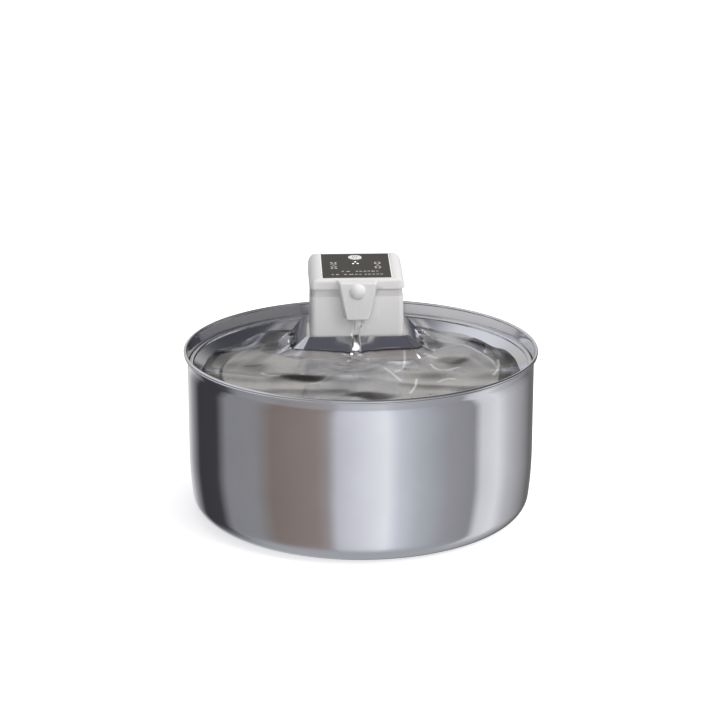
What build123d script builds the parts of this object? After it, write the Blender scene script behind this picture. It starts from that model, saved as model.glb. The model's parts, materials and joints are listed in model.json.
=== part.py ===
"""Pet water fountain: a steel bowl, a lift-out drinking tray and a cordless pump unit.

Millimetres. The origin is at the centre of the bowl's underside, +Z is up, -Y is the front and
the pump unit stands at the back, +Y.
"""
import os
from math import atan2, cos, degrees, radians, sin, sqrt, tan

from build123d import *

os.makedirs("parts", exist_ok=True)

# ---------------------------------------------------------------- driving dimensions
# Clearances
SLIDE_FIT = 0.3            # between pieces that slide past each other
SEAT_GAP = 0.1             # under a piece that rests on a seat
SNUG = 0.05                # between pieces that are pressed or screwed together
RUNNING = 0.05             # radial, between the rotor's bore and its shaft
PRESSED = 0.01             # radial, round the fixed shaft and inside the magnet
THROUGH = 10.0             # length of a cut that passes right through a wall

# Bowl
BODY_R = 110.0             # outside of the straight wall
BOWL_SHEET = 0.7
BOWL_TOP = 106.6
SWEEP_R = 260.0            # slow inward curve of the lower wall
SWEEP_TOP = 42.0
FOOT_R = 12.5              # corner between the wall and the foot
FOOT_Z = 0.4
PANEL_R = 80.0             # raised middle of the base
PANEL_RISE = 1.2
FLARE_Z = 98.7             # where the lip starts to open
FLARE_SLOPE = 0.271        # outward run per height
ROLL_R = 0.95              # rolled edge
HEM_R = 0.75               # second fold under the rolled edge
HEM_DROP = 1.25

# Base pads
PAD_COUNT = 4
PAD_R = 7.0
PAD_RING_R = 66.0

# Tray
TRAY_SHEET = 0.9           # measured straight down
TRAY_BEAD_R = 1.5
TRAY_BEAD_Z = 97.4
BASIN_EDGE_INSET = 1.8      # from the middle of the bead
BASIN_EDGE_Z = 96.4
BASIN_FLOOR_Z = 83.0
WALL_RUN = 1.235           # outward run per height of the basin wall and the island wall
BASIN_BEND_R = 5.0

# Island of the tray, around the pump unit
ISLAND_Z = 99.0
ISLAND_SIDE = 2.6          # level strip beside the unit
ISLAND_STRIP = 1.5         # and in front of it
ISLAND_CUT = 2.0           # corner facet at the top
ISLAND_FOOT_CUT = 12.0     # corner facet at the basin floor
ISLAND_EDGE_R = 0.8
OVERFLOW_COUNT = 3
OVERFLOW_LENGTH = 8.0
OVERFLOW_HEIGHT = 2.0
OVERFLOW_PITCH = 12.0
OVERFLOW_Z = 90.2
OVERFLOW_FORWARD = 8.0      # of the unit's middle
UPRIGHT = 0.3              # least rise of a corner edge that is rounded

# Tray rests, welded inside the bowl
REST_COUNT = 4
REST_WIDTH_DEG = 7.0
REST_DEPTH = 3.0
REST_HEIGHT = 8.0
REST_SHEET = 1.0

# Pump unit, outside
UNIT_W = 61.6
UNIT_D = 50.5
UNIT_BEHIND = 7.5          # from the unit's back to the middle of the tray's bead
UNIT_CORNER = 4.0
HOUSING_WALL = 1.8
DRAFT_DEG = 1.1
BAND_H = 5.8               # shadow band below the cover
BAND_SETBACK = 1.2
RIM_INSET = 1.2            # step from the band in to the rim inside the cover
RIM_WALL = 1.5
COVER_LIFT = 1.8           # cover's seam above the cells
COVER_FRONT_H = 6.3
COVER_SLOPE_DEG = 6.2
COVER_PROUD = 0.5          # how far the cover stands out past the housing
COVER_WALL = 1.5
COVER_TOP_WALL = 2.2
COVER_SIDE_R = 6.5
COVER_EDGE_R = 2.2
RIM_LAP = 1.6              # housing rim inside the cover
GASKET = 0.8

# Collar joint
COLLAR_EDGE = 1.1          # housing overlap on the island
COLLAR_CLEAR = 0.5
COLLAR_GASKET = 0.5
SPIGOT_H = 4.6
SPIGOT_GROOVE = 0.5
SPIGOT_GROOVE_Z = 1.4      # groove's height above the collar
SPIGOT_RING = 1.6
COLLAR_SETBACK = 0.2       # gasket's outer edge, in from the housing's face

# Tongue that carries the sensor and the spout
TONGUE_PROUD = 7.5          # in front of the housing
TONGUE_TOP_W = 24.4
TONGUE_BOTTOM_W = 14.4
TONGUE_SINK = 0.3          # below the cover's front edge
TONGUE_REACH = 19.6        # below the cover's seam
TONGUE_FLARE = 1.4         # each flank widens towards the housing
TONGUE_EDGE_R = 1.3
TONGUE_WALL = 1.4
DOME_DROP = 5.8            # below the tongue's top
DOME_R = 5.5
DOME_PROUD = 3.4
DOME_WALL = 0.7
DOME_SKIRT = 1.1
SENSOR_R = 3.3
SENSOR_FLANGE_R = 3.8
SENSOR_FLANGE_T = 0.6
SENSOR_WINDOW = 2.6
SENSOR_WINDOW_DEEP = 0.3
SENSOR_BOARD_W = 15.0
SENSOR_BOARD_UP = 4.0
SENSOR_BOARD_DOWN = 4.2
SENSOR_BOARD_T = 1.2
SENSOR_HOLE_R = 1.1        # for the sensor's wires, in the cover's front wall
SENSOR_HOLE_RISE = 1.8
SPOUT_INSET = 4.4          # behind the tongue's front
SPOUT_R = 2.8
SPOUT_BORE_R = 1.9
SPOUT_DROP = 4.1           # length that shows below the tongue
SPOUT_LENGTH = 10.4
SPOUT_TIP_R = 0.5
RISER_R = 2.6
RISER_BORE_R = 1.7
RISER_INSET = 7.5          # behind the housing's front
RISER_BEND_RISE = 6.8      # above the tongue's underside

# Control panel on the cover
PANEL_MARGIN = 7.65        # beside the panel
PANEL_INSET = 2.5          # behind the housing's front
PANEL_SHEET = 0.5
BUTTON_W = 9.2
BUTTON_D = 7.4
BUTTON_FROM_BACK = 8.0
BUTTON_PROUD = 0.5
BUTTON_TRAVEL = 0.6
BUTTON_FLANGE = 1.0
BUTTON_FLANGE_T = 0.8
BUTTON_EDGE_R = 0.3
BUTTON_STEM_R = 1.6
LIGHT_R = 0.75
LIGHT_FROM_BACK = 17.7
LIGHT_SPREAD = 1.55
LIGHT_GAP = 1.2            # between a rod and the board

# Lower housing
UNIT_BOTTOM = 6.0
BAY_FLOOR = 2.0
BAY_CEILING = 28.5         # underside of the inlet plate
INLET_SHEET = 2.0
CHAMBER_H = 7.0
DRY_FLOOR = 2.0
SLOT_W = 3.0               # inlet slots in the housing's and the drawer's floor
SLOT_PITCH = 6.5
SLOTS_EACH_SIDE = 3
FLOOR_SLOT_L = 32.0

# Pump
VOLUTE_R = 12.6
VOLUTE_WALL = 2.4
VOLUTE_LID = 1.2           # casing above and below the duct
DUCT_W = 3.8
DUCT_WALL = 1.0            # beside the riser
IMPELLER_R = 11.6
IMPELLER_PLATE = 1.2
IMPELLER_GAP = 0.7         # above and below the impeller
BLADE_COUNT = 6
BLADE_T = 1.2
BLADE_SETBACK = 0.2        # blades end short of the plate's edge
BLADE_ROOT = 0.3           # blades reach into the stem
BLADE_CURVE_R = 7.0
STEM_R = 2.3
STEM_TOP_GAP = 2.2
SHAFT_R = 1.45
CAN_R = 6.0
CAN_WALL = 0.6
CAN_CAP = 0.8
CAN_SOCKET_R = 3.0
CAN_SOCKET_H = 1.6
CAN_SOCKET_ROOF = 0.3
CAN_H = 18.0
CAN_FLANGE_R = 9.5
CAN_FLANGE = 1.2
MAGNET_R = 5.4
MAGNET_H = 14.0
MAGNET_LIFT = 0.8
STATOR_R = 14.0
STATOR_RIM = 2.0
STATOR_H = 9.0
POLE_COUNT = 4
POLE_W = 3.6
COIL_BUILD = 1.8
INLET_R = 7.5
INLET_HUB_R = 3.0
INLET_SOCKET_FLOOR = 0.5
SPOKE_COUNT = 3
SPOKE_W = 1.6

# Filter drawer
DRAWER_SIDE = 1.7          # between the drawer and the housing's inner wall
DRAWER_WALL = 1.4
DRAWER_FACE = 2.0
DRAWER_MARGIN = 5.0        # plain floor at the ends of the slots
FACE_SLOT_W = 2.4
FACE_SLOT_TOP = 6.0        # plain face above the slots
FINGER_LIP_W = 18.0
FINGER_LIP_D = 3.5
FINGER_LIP_T = 1.4
FINGER_LIP_DROP = 2.0
SPONGE_H = 3.0
LID_GAP = 0.5              # cartridge lid below the drawer's top
LID_SLOT_W = 2.0
LID_SLOT_PITCH = 6.0
LID_SLOT_DEEP = 1.0
LID_SLOT_FRONT = 15.0
LID_SLOT_BACK = 12.0

# Power
CELL_R = 9.2
CELL_H = 65.0
CELL_PITCH = 19.4
CELL_LIFT = 6.5            # cells' foot above the rotor's can
CELL_EDGE_R = 0.6
CELL_CAP_R = 3.2
CELL_CAP_H = 0.8
STRIP_T = 0.3              # nickel strip across the cells
STRIP_W = 6.0
STRIP_TAB_W = 3.0
HOLDER_WALL = 1.3
HOLDER_DROP = 2.0          # sleeve's rim below the cells' ends
HOLDER_LEG = 3.0
HOLDER_WINDOWS = (11.0, 31.0, 51.0)  # above the cells' foot
WINDOW_W = 10.0
WINDOW_H = 14.0
BOARD_T = 1.6
BOARD_W = 42.0
BOARD_D = 28.0
BOARD_DROP = 0.2           # board's underside below the cover's seam
BOARD_MARGIN = 0.8         # board past the switch
SWITCH_SIDE = 6.0
SWITCH_BODY_H = 3.3
SWITCH_H = 4.2             # with its plunger
SWITCH_PLUNGER_R = 1.7
SOLDER = 0.2               # components reach into the board
CHIPS = ((-12.5, -5.5, 7.0, 1.2), (10.5, -7.5, 5.0, 1.0))  # across, along, side, height
LAMP_SIDE = 1.4
LAMP_H = 0.9
LEAD_X = 13.0
LEAD_R = 0.9
LEAD_BEND = 2.0
LEAD_OUT = 2.5             # from the stator's outside
LEAD_START = 8.0
LEAD_RISE = 4.0
LEAD_SHIFT = 10.0          # below the board, where the lead turns in
PORT_DROP = 15.8           # below the cover's seam
PORT_W = 9.0
PORT_H = 3.2
PORT_DEPTH = 7.3
PORT_SHEET = 0.4
PORT_FLOOR = 1.2
CONTACT_W = 6.4
CONTACT_T = 0.7
CONTACT_INSET = 1.5
CHARGE_BOARD_W = 18.0
CHARGE_BOARD_H = 16.0
CHARGE_BOARD_T = 1.2
PEG_R = 1.5
PEG_RISE = 5.0
PEG_INSET = 2.0
FLAP_W = 16.0
FLAP_H = 11.0
FLAP_T = 1.3
FLAP_CORNER = 2.0
PULL_W = 6.0               # ridge to lift the flap by
PULL_H = 1.2
PULL_PROUD = 0.6
FLAP_SINK = 0.6            # depth of the flap's seat in the wall
FLAP_PIN_R = 0.6
FLAP_KNUCKLE_R = 1.3
FLAP_KNUCKLE_W = 9.0
FLAP_EAR_W = 2.0

# Screws
SCREW_R = 1.1
SCREW_HEAD_R = 2.3
SCREW_HEAD = 1.6
RECESS_W = 0.6             # cross recess
RECESS_DEEP = 0.7
BOSS_R = 3.2
COVER_SCREW_L = 20.0
COVER_POST_L = 15.0
HOUSING_SCREW_L = 11.0
INLET_SCREW_L = 6.0
COVER_BOSS_X = 19.5
COVER_BOSS_INSET = 7.6     # from the housing's front and back faces
HOUSING_BOSS_INSET = 5.9
LEDGE = 3.0

# ---------------------------------------------------------------- places worked out from them
INLET_TOP = BAY_CEILING + INLET_SHEET
CHAMBER_TOP = INLET_TOP + CHAMBER_H
DRY_Z = CHAMBER_TOP + DRY_FLOOR
CAN_TOP = DRY_Z + CAN_H
CELL_Z = CAN_TOP + CELL_LIFT
HOLDER_TOP = CELL_Z + CELL_H - HOLDER_DROP
COVER_Z = CELL_Z + CELL_H + COVER_LIFT
COVER_FRONT_TOP = COVER_Z + COVER_FRONT_H
BAND_Z = COVER_Z - BAND_H
BOARD_Z = COVER_Z - BOARD_DROP
PORT_Z = COVER_Z - PORT_DROP
TONGUE_BOTTOM = COVER_Z - TONGUE_REACH
RISER_BEND_Z = TONGUE_BOTTOM + RISER_BEND_RISE
INNER_R = BODY_R - BOWL_SHEET
TRAY_BEAD_RING_R = INNER_R - SLIDE_FIT - TRAY_BEAD_R
BASIN_EDGE_R = TRAY_BEAD_RING_R - BASIN_EDGE_INSET
UNIT_BACK = TRAY_BEAD_RING_R - UNIT_BEHIND
UNIT_FRONT = UNIT_BACK - UNIT_D
UNIT_Y = UNIT_FRONT + UNIT_D / 2
ISLAND_W = UNIT_W + 2 * ISLAND_SIDE
ISLAND_FRONT = UNIT_FRONT - ISLAND_STRIP
OVERFLOW_Y = UNIT_Y - OVERFLOW_FORWARD
COLLAR_Z = ISLAND_Z + SEAT_GAP / 2 + COLLAR_GASKET
OPENING_W = UNIT_W - 2 * COLLAR_EDGE
OPENING_D = UNIT_D - 2 * COLLAR_EDGE
OPENING_CORNER = UNIT_CORNER - COLLAR_EDGE
LOWER_W = OPENING_W - 2 * COLLAR_CLEAR
LOWER_D = OPENING_D - 2 * COLLAR_CLEAR
LOWER_CORNER = OPENING_CORNER - COLLAR_CLEAR
LOWER_FRONT = UNIT_Y - LOWER_D / 2
DRAWER_W = LOWER_W - 2 * HOUSING_WALL - 2 * DRAWER_SIDE
DRAWER_DEPTH = LOWER_D - HOUSING_WALL - 2 * SLIDE_FIT
BAND_W = UNIT_W - 2 * BAND_SETBACK
BAND_D = UNIT_D - 2 * BAND_SETBACK
BAND_CORNER = UNIT_CORNER - BAND_SETBACK
RIM_W = BAND_W - 2 * RIM_INSET
RIM_D = BAND_D - 2 * RIM_INSET
RIM_CORNER = BAND_CORNER - RIM_INSET
RIM_HOLE_W = RIM_W - 2 * RIM_WALL
RIM_HOLE_D = RIM_D - 2 * RIM_WALL
RIM_HOLE_CORNER = 0.5
COVER_W = UNIT_W + 2 * COVER_PROUD
COVER_D = UNIT_D + 2 * COVER_PROUD
COVER_FRONT = UNIT_FRONT - COVER_PROUD
COVER_CORNER = UNIT_CORNER + COVER_PROUD
TONGUE_Y = UNIT_FRONT - TONGUE_PROUD
TONGUE_TOP = COVER_FRONT_TOP - TONGUE_SINK
DOME_Z = TONGUE_TOP - DOME_DROP
SPOUT_Y = TONGUE_Y + SPOUT_INSET
RISER_Y = UNIT_FRONT + RISER_INSET
PANEL_SIDE = UNIT_W - 2 * PANEL_MARGIN
PANEL_FRONT = UNIT_FRONT + PANEL_INSET
BUTTON_FROM_FRONT = PANEL_SIDE - BUTTON_FROM_BACK
LIGHT_FROM_FRONT = PANEL_SIDE - LIGHT_FROM_BACK
SLOPE = radians(COVER_SLOPE_DEG)
RIM_Z = COVER_Z + RIM_LAP
LEDGE_Z = RIM_Z + GASKET
STATOR_Z = DRY_Z + CAN_FLANGE + SLIDE_FIT + COIL_BUILD
DRAWER_Z = UNIT_BOTTOM + BAY_FLOOR + SLIDE_FIT
DRAWER_TOP = BAY_CEILING - 3 * SLIDE_FIT
BASE_TOP = FOOT_Z + PANEL_RISE
COVER_BOSSES = [(x, y) for x in (-COVER_BOSS_X, COVER_BOSS_X)
                for y in (UNIT_FRONT + COVER_BOSS_INSET, UNIT_BACK - COVER_BOSS_INSET)]
HOUSING_BOSSES = [(x, y) for x in (HOUSING_BOSS_INSET - UNIT_W / 2, UNIT_W / 2 - HOUSING_BOSS_INSET)
                  for y in (UNIT_FRONT + HOUSING_BOSS_INSET, UNIT_BACK - HOUSING_BOSS_INSET)]
COVER_BOSS_SPLIT = BAND_Z + SNUG
LEDGE_BOTTOM = COLLAR_Z + SPIGOT_H + SNUG


def top_z(y):
    """Height of the cover's sloping top at a distance y."""
    return COVER_FRONT_TOP + (y - COVER_FRONT) * tan(SLOPE)


def on_top(x, y, sink=0.0):
    """Place on the cover's sloping top, its Z along the slope's normal."""
    plane = Plane(origin=(x, y, top_z(y)), x_dir=(1, 0, 0), z_dir=(0, -sin(SLOPE), cos(SLOPE)))
    return plane.location * Pos(0, 0, -sink)


PANEL_Y = PANEL_FRONT + PANEL_SIDE / 2 * cos(SLOPE)
BUTTON_Y = PANEL_FRONT + BUTTON_FROM_FRONT * cos(SLOPE)
LIGHT_Y = PANEL_FRONT + LIGHT_FROM_FRONT * cos(SLOPE)
LIGHTS = [(0, LIGHT_Y + LIGHT_SPREAD), (-LIGHT_SPREAD, LIGHT_Y - LIGHT_SPREAD),
          (LIGHT_SPREAD, LIGHT_Y - LIGHT_SPREAD)]


# ---------------------------------------------------------------- shape helpers
def lathe(*points, arc=360):
    """Body of revolution about Z from a closed outline of (radius, height) points."""
    return revolve(make_face(Plane.XZ * Polyline(*points, close=True)), Axis.Z, arc)


def post(x, y, low, high, radius):
    """Upright cylinder."""
    return Pos(x, y, (low + high) / 2) * Cylinder(radius, high - low)


def pipe(x, y, low, high, radius, bore):
    """Upright tube."""
    return post(x, y, low, high, radius) - post(x, y, low - 1, high + 1, bore)


def slab(x0, x1, y0, y1, z0, z1):
    """Plain block between two corners."""
    return Pos((x0 + x1) / 2, (y0 + y1) / 2, (z0 + z1) / 2) * Box(x1 - x0, y1 - y0, z1 - z0)


def block(width, depth, low, high, corner, draft=0):
    """Upright block with rounded corners, centred on the pump unit."""
    return extrude(Pos(0, UNIT_Y, low) * RectangleRounded(width, depth, corner), high - low, taper=draft)


def screw(x, y, under_head, length):
    """Pan-head screw that points down, with a cross recess."""
    top = under_head + SCREW_HEAD
    body = post(x, y, under_head - length, under_head, SCREW_R) + post(x, y, under_head, top, SCREW_HEAD_R)
    for width, depth in ((RECESS_W, SCREW_HEAD_R), (SCREW_HEAD_R, RECESS_W)):
        body -= slab(x - width / 2, x + width / 2, y - depth / 2, y + depth / 2, top - RECESS_DEEP, top + 1)
    return body


def save(name, shape):
    """Write one sub-part to its own file."""
    shape.label = name
    export_step(shape, f"parts/{name}.step")


# ---------------------------------------------------------------- bowl
def lip_r(z):
    """Outside radius of the opening lip at a height."""
    return BODY_R + (z - FLARE_Z) * FLARE_SLOPE


def bowl_form(inset, top):
    """Solid inside the bowl's outer surface when that surface is moved inwards by inset."""
    sweep_x = BODY_R - SWEEP_R
    foot_z = FOOT_Z + FOOT_R
    foot_x = sweep_x + sqrt((SWEEP_R - FOOT_R) ** 2 - (SWEEP_TOP - foot_z) ** 2)
    meet = degrees(atan2(foot_z - SWEEP_TOP, foot_x - sweep_x))
    base = [(0, top), (0, BASE_TOP + inset), (PANEL_R, BASE_TOP + inset),
            (PANEL_R + PANEL_RISE, FOOT_Z + inset), (foot_x, FOOT_Z + inset)]
    wall = [(BODY_R - inset, SWEEP_TOP), (BODY_R - inset, FLARE_Z), (lip_r(top) - inset, top), (0, top)]
    outline = (Polyline(*base)
               + CenterArc((foot_x, foot_z), FOOT_R - inset, -90, 90 + meet)
               + CenterArc((sweep_x, SWEEP_TOP), SWEEP_R - inset, meet, -meet)
               + Polyline(*wall))
    return revolve(make_face(Plane.XZ * outline), Axis.Z)


def reservoir_bowl():
    """Drawn steel bowl with a raised base panel, an opening lip and a rolled, hemmed edge."""
    roll_z = BOWL_TOP - ROLL_R
    bowl = bowl_form(0, roll_z) - bowl_form(BOWL_SHEET, BOWL_TOP + 1)
    ring_r = lip_r(roll_z) - BOWL_SHEET / 2
    bowl += Pos(0, 0, roll_z) * Torus(ring_r, ROLL_R)
    bowl += Pos(0, 0, roll_z - HEM_DROP) * Torus(ring_r, HEM_R)
    return bowl


def base_pads():
    """Silicone pads in the recess of the base, a little proud of the foot."""
    turns = [Rot(0, 0, 45 + 360 / PAD_COUNT * i) for i in range(PAD_COUNT)]
    return Compound([turn * post(PAD_RING_R, 0, 0, BASE_TOP, PAD_R) for turn in turns])


def tray_rests():
    """Angle tabs, spot-welded inside the bowl, on which the tray's bead sits."""
    top = TRAY_BEAD_Z - TRAY_BEAD_R - SLIDE_FIT
    section = [(INNER_R, top), (INNER_R - REST_DEPTH, top), (INNER_R - REST_DEPTH, top - REST_SHEET),
               (INNER_R - REST_SHEET, top - REST_SHEET), (INNER_R - REST_SHEET, top - REST_HEIGHT),
               (INNER_R, top - REST_HEIGHT)]
    tab = lathe(*section, arc=REST_WIDTH_DEG)
    start = 45 - REST_WIDTH_DEG / 2
    return Compound([Rot(0, 0, start + 360 / REST_COUNT * i) * tab for i in range(REST_COUNT)])


# ---------------------------------------------------------------- tray
def island_outline(z, cut):
    """Outline of the island at a height; it spreads downwards at the wall's slope."""
    spread = (ISLAND_Z - z) * WALL_RUN
    side = ISLAND_W / 2 + spread
    front = ISLAND_FRONT - spread
    back = TRAY_BEAD_RING_R + spread
    points = [(-side, front + cut), (-side + cut, front), (side - cut, front), (side, front + cut),
              (side, back), (-side, back)]
    return make_face(Pos(0, 0, z) * Polyline(*points, close=True))


def tray_form():
    """Solid below the tray's upper surface: the basin and the island."""
    bend_r = BASIN_EDGE_R - (BASIN_EDGE_Z - BASIN_FLOOR_Z) * WALL_RUN
    below = BASIN_FLOOR_Z - 2 * TRAY_SHEET
    points = [(0, below), (TRAY_BEAD_RING_R, below), (TRAY_BEAD_RING_R, TRAY_BEAD_Z),
              (BASIN_EDGE_R, BASIN_EDGE_Z), (bend_r, BASIN_FLOOR_Z), (0, BASIN_FLOOR_Z)]
    half = make_face(Polyline(*points, close=True))
    bend = half.vertices().sort_by_distance((bend_r, BASIN_FLOOR_Z, 0))[0]
    basin = revolve(Plane.XZ * fillet(bend, BASIN_BEND_R), Axis.Z)
    island = loft([island_outline(BASIN_FLOOR_Z - TRAY_SHEET, ISLAND_FOOT_CUT),
                   island_outline(ISLAND_Z, ISLAND_CUT)], ruled=True)
    top_face = island.faces().sort_by(Axis.Z)[-1]
    slanted = [edge for edge in island.edges()
               if abs(edge.tangent_at(0.5).Z) > UPRIGHT and edge.center().Y < UNIT_Y]
    island = fillet(top_face.edges().sort_by(Axis.Y)[:-1] + slanted, ISLAND_EDGE_R)
    island &= post(0, 0, below, ISLAND_Z + 1, TRAY_BEAD_RING_R)
    return basin + island


def drinking_tray():
    """Pressed steel tray with a rolled bead, an island round the pump unit and overflow slots."""
    form = tray_form()
    tray = form - Pos(0, 0, -TRAY_SHEET) * form
    tray += Pos(0, 0, TRAY_BEAD_Z) * Torus(TRAY_BEAD_RING_R, TRAY_BEAD_R)
    tray -= block(OPENING_W, OPENING_D, BASIN_FLOOR_Z, ISLAND_Z + 1, OPENING_CORNER)
    reach = ISLAND_W / 2 + (ISLAND_Z - OVERFLOW_Z + OVERFLOW_HEIGHT) * WALL_RUN
    for i in range(OVERFLOW_COUNT):
        y = OVERFLOW_Y + (i - (OVERFLOW_COUNT - 1) / 2) * OVERFLOW_PITCH
        for side in (-1, 1):
            ends = sorted((side * (OPENING_W / 2 + 2), side * reach))
            tray -= slab(*ends, y - OVERFLOW_LENGTH / 2, y + OVERFLOW_LENGTH / 2,
                         OVERFLOW_Z, OVERFLOW_Z + OVERFLOW_HEIGHT)
    return tray


# ---------------------------------------------------------------- housings
def slot_places(pitch=SLOT_PITCH):
    """Places across the unit of a row of slots."""
    return [pitch * i for i in range(-SLOTS_EACH_SIDE, SLOTS_EACH_SIDE + 1)]


def lower_housing():
    """Housing in the water: the drawer bay, the pump chamber and the dry battery well."""
    cavity_w = LOWER_W - 2 * HOUSING_WALL
    cavity_d = LOWER_D - 2 * HOUSING_WALL
    corner = max(LOWER_CORNER - HOUSING_WALL, 0.5)
    body = block(LOWER_W, LOWER_D, UNIT_BOTTOM, COLLAR_Z - SNUG, LOWER_CORNER)
    spigot_w = UNIT_W - 2 * HOUSING_WALL - 2 * SNUG
    spigot_d = UNIT_D - 2 * HOUSING_WALL - 2 * SNUG
    spigot_corner = UNIT_CORNER - HOUSING_WALL
    body += block(spigot_w, spigot_d, COLLAR_Z - 1, COLLAR_Z + SPIGOT_H, spigot_corner) \
        & block(LOWER_W, LOWER_D, COLLAR_Z - 1, COLLAR_Z + SPIGOT_H, LOWER_CORNER)
    groove_z = COLLAR_Z + SPIGOT_GROOVE_Z
    body -= (block(UNIT_W, UNIT_D, groove_z, groove_z + SPIGOT_RING, UNIT_CORNER)
             - block(spigot_w - 2 * SPIGOT_GROOVE, spigot_d - 2 * SPIGOT_GROOVE, groove_z,
                     groove_z + SPIGOT_RING, spigot_corner))
    body -= block(cavity_w, cavity_d, UNIT_BOTTOM + BAY_FLOOR, CHAMBER_TOP, corner)
    body -= block(cavity_w, cavity_d, DRY_Z, COLLAR_Z + SPIGOT_H + 1, corner)
    for x, y in HOUSING_BOSSES:
        top = COLLAR_Z + SPIGOT_H
        boss = post(x, y, top - HOUSING_SCREW_L - 3, top, BOSS_R)
        body += boss & block(cavity_w + 1, cavity_d + 1, DRY_Z, top, corner)
        body -= post(x, y, top - HOUSING_SCREW_L, top + 1, SCREW_R + SNUG)
        body += post(x, y, INLET_TOP, CHAMBER_TOP + 1, BOSS_R)
        body -= post(x, y, INLET_TOP - 1, INLET_TOP + INLET_SCREW_L - 0.5, SCREW_R + SNUG)
    half = DRAWER_W / 2 + SLIDE_FIT
    body -= slab(-half, half, LOWER_FRONT - 1, LOWER_FRONT + HOUSING_WALL + 1,
                 UNIT_BOTTOM + BAY_FLOOR, DRAWER_TOP + SLIDE_FIT)
    for x in slot_places():
        body -= slab(x - SLOT_W / 2, x + SLOT_W / 2, UNIT_Y - FLOOR_SLOT_L / 2, UNIT_Y + FLOOR_SLOT_L / 2,
                     UNIT_BOTTOM - 1, UNIT_BOTTOM + BAY_FLOOR + 1)
    body -= post(0, UNIT_Y, CHAMBER_TOP - 1, DRY_Z + 1, CAN_R)
    body -= post(0, RISER_Y, CHAMBER_TOP - 1, DRY_Z + 1, RISER_R + SNUG)
    return body


def upper_housing():
    """Visible housing: a drafted shell with a set-back rim, screw posts and the charging port."""
    cavity_w = UNIT_W - 2 * HOUSING_WALL
    cavity_d = UNIT_D - 2 * HOUSING_WALL
    cavity_corner = UNIT_CORNER - HOUSING_WALL
    body = block(UNIT_W, UNIT_D, COLLAR_Z, BAND_Z, UNIT_CORNER, DRAFT_DEG)
    body += block(BAND_W, BAND_D, BAND_Z - 1, COVER_Z, BAND_CORNER)
    body += block(RIM_W, RIM_D, COVER_Z - 1, RIM_Z, RIM_CORNER)
    body -= block(cavity_w, cavity_d, COLLAR_Z - 1, BAND_Z - HOUSING_WALL, cavity_corner)
    body -= block(RIM_HOLE_W, RIM_HOLE_D, COLLAR_Z, RIM_Z + 1, RIM_HOLE_CORNER)
    inside = block(cavity_w + 1, cavity_d + 1, COLLAR_Z, BAND_Z, cavity_corner)
    for x, y in COVER_BOSSES:
        wall_y = UNIT_FRONT if y < UNIT_Y else UNIT_BACK
        low = BAND_Z - COVER_POST_L
        web = slab(x - 1, x + 1, min(y, wall_y), max(y, wall_y), low, BAND_Z)
        body += (post(x, y, low, BAND_Z, BOSS_R) + web) & inside
        body -= post(x, y, low + 1, BAND_Z + 1, SCREW_R + SNUG)
    for x, y in HOUSING_BOSSES:
        wide = BOSS_R + HOUSING_BOSS_INSET
        ledge = post(x, y, LEDGE_BOTTOM, LEDGE_BOTTOM + LEDGE, BOSS_R)
        side = 1 if x > 0 else -1
        near, far = sorted((x, x + side * wide))
        ledge += slab(near, far, y - BOSS_R, y + BOSS_R, LEDGE_BOTTOM, LEDGE_BOTTOM + LEDGE)
        body += ledge & inside
        body -= post(x, y, LEDGE_BOTTOM - 1, LEDGE_BOTTOM + LEDGE + 1, SCREW_R + SLIDE_FIT)
    slot = RISER_R + SLIDE_FIT
    slot_top = RISER_BEND_Z + (RISER_Y - SPOUT_Y) / 2 + slot
    body -= slab(-slot, slot, UNIT_FRONT - 1, UNIT_FRONT + BAND_SETBACK + RIM_INSET + RIM_WALL + 1,
                 RISER_BEND_Z - SPOUT_R, slot_top)
    return port_features(body)


# ---------------------------------------------------------------- charging port
PORT_WALL_Y = UNIT_BACK - (PORT_Z - COLLAR_Z) * tan(radians(DRAFT_DEG))
FLAP_TOP = PORT_Z + FLAP_H / 2
FLAP_PIN_Z = FLAP_TOP + FLAP_KNUCKLE_R - SLIDE_FIT
FLAP_SEAT_Y = PORT_WALL_Y - FLAP_SINK
FLAP_PIN_Y = FLAP_SEAT_Y + SEAT_GAP + FLAP_T + SLIDE_FIT
CHARGE_BOARD_Y = FLAP_SEAT_Y - SLIDE_FIT - PORT_DEPTH


def along_x(y, z, x0, x1, radius):
    """Cylinder along X."""
    return Pos((x0 + x1) / 2, y, z) * Rot(0, 90, 0) * Cylinder(radius, x1 - x0)


def along_y(x, z, y0, y1, radius):
    """Cylinder along Y."""
    return Pos(x, (y0 + y1) / 2, z) * Rot(90, 0, 0) * Cylinder(radius, y1 - y0)


def stadium_y(width, height, y0, y1, z):
    """Bar along Y with a rounded-end section."""
    ends = (width - height) / 2
    bar = slab(-ends, ends, y0, y1, z - height / 2, z + height / 2)
    return bar + along_y(-ends, z, y0, y1, height / 2) + along_y(ends, z, y0, y1, height / 2)


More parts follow.
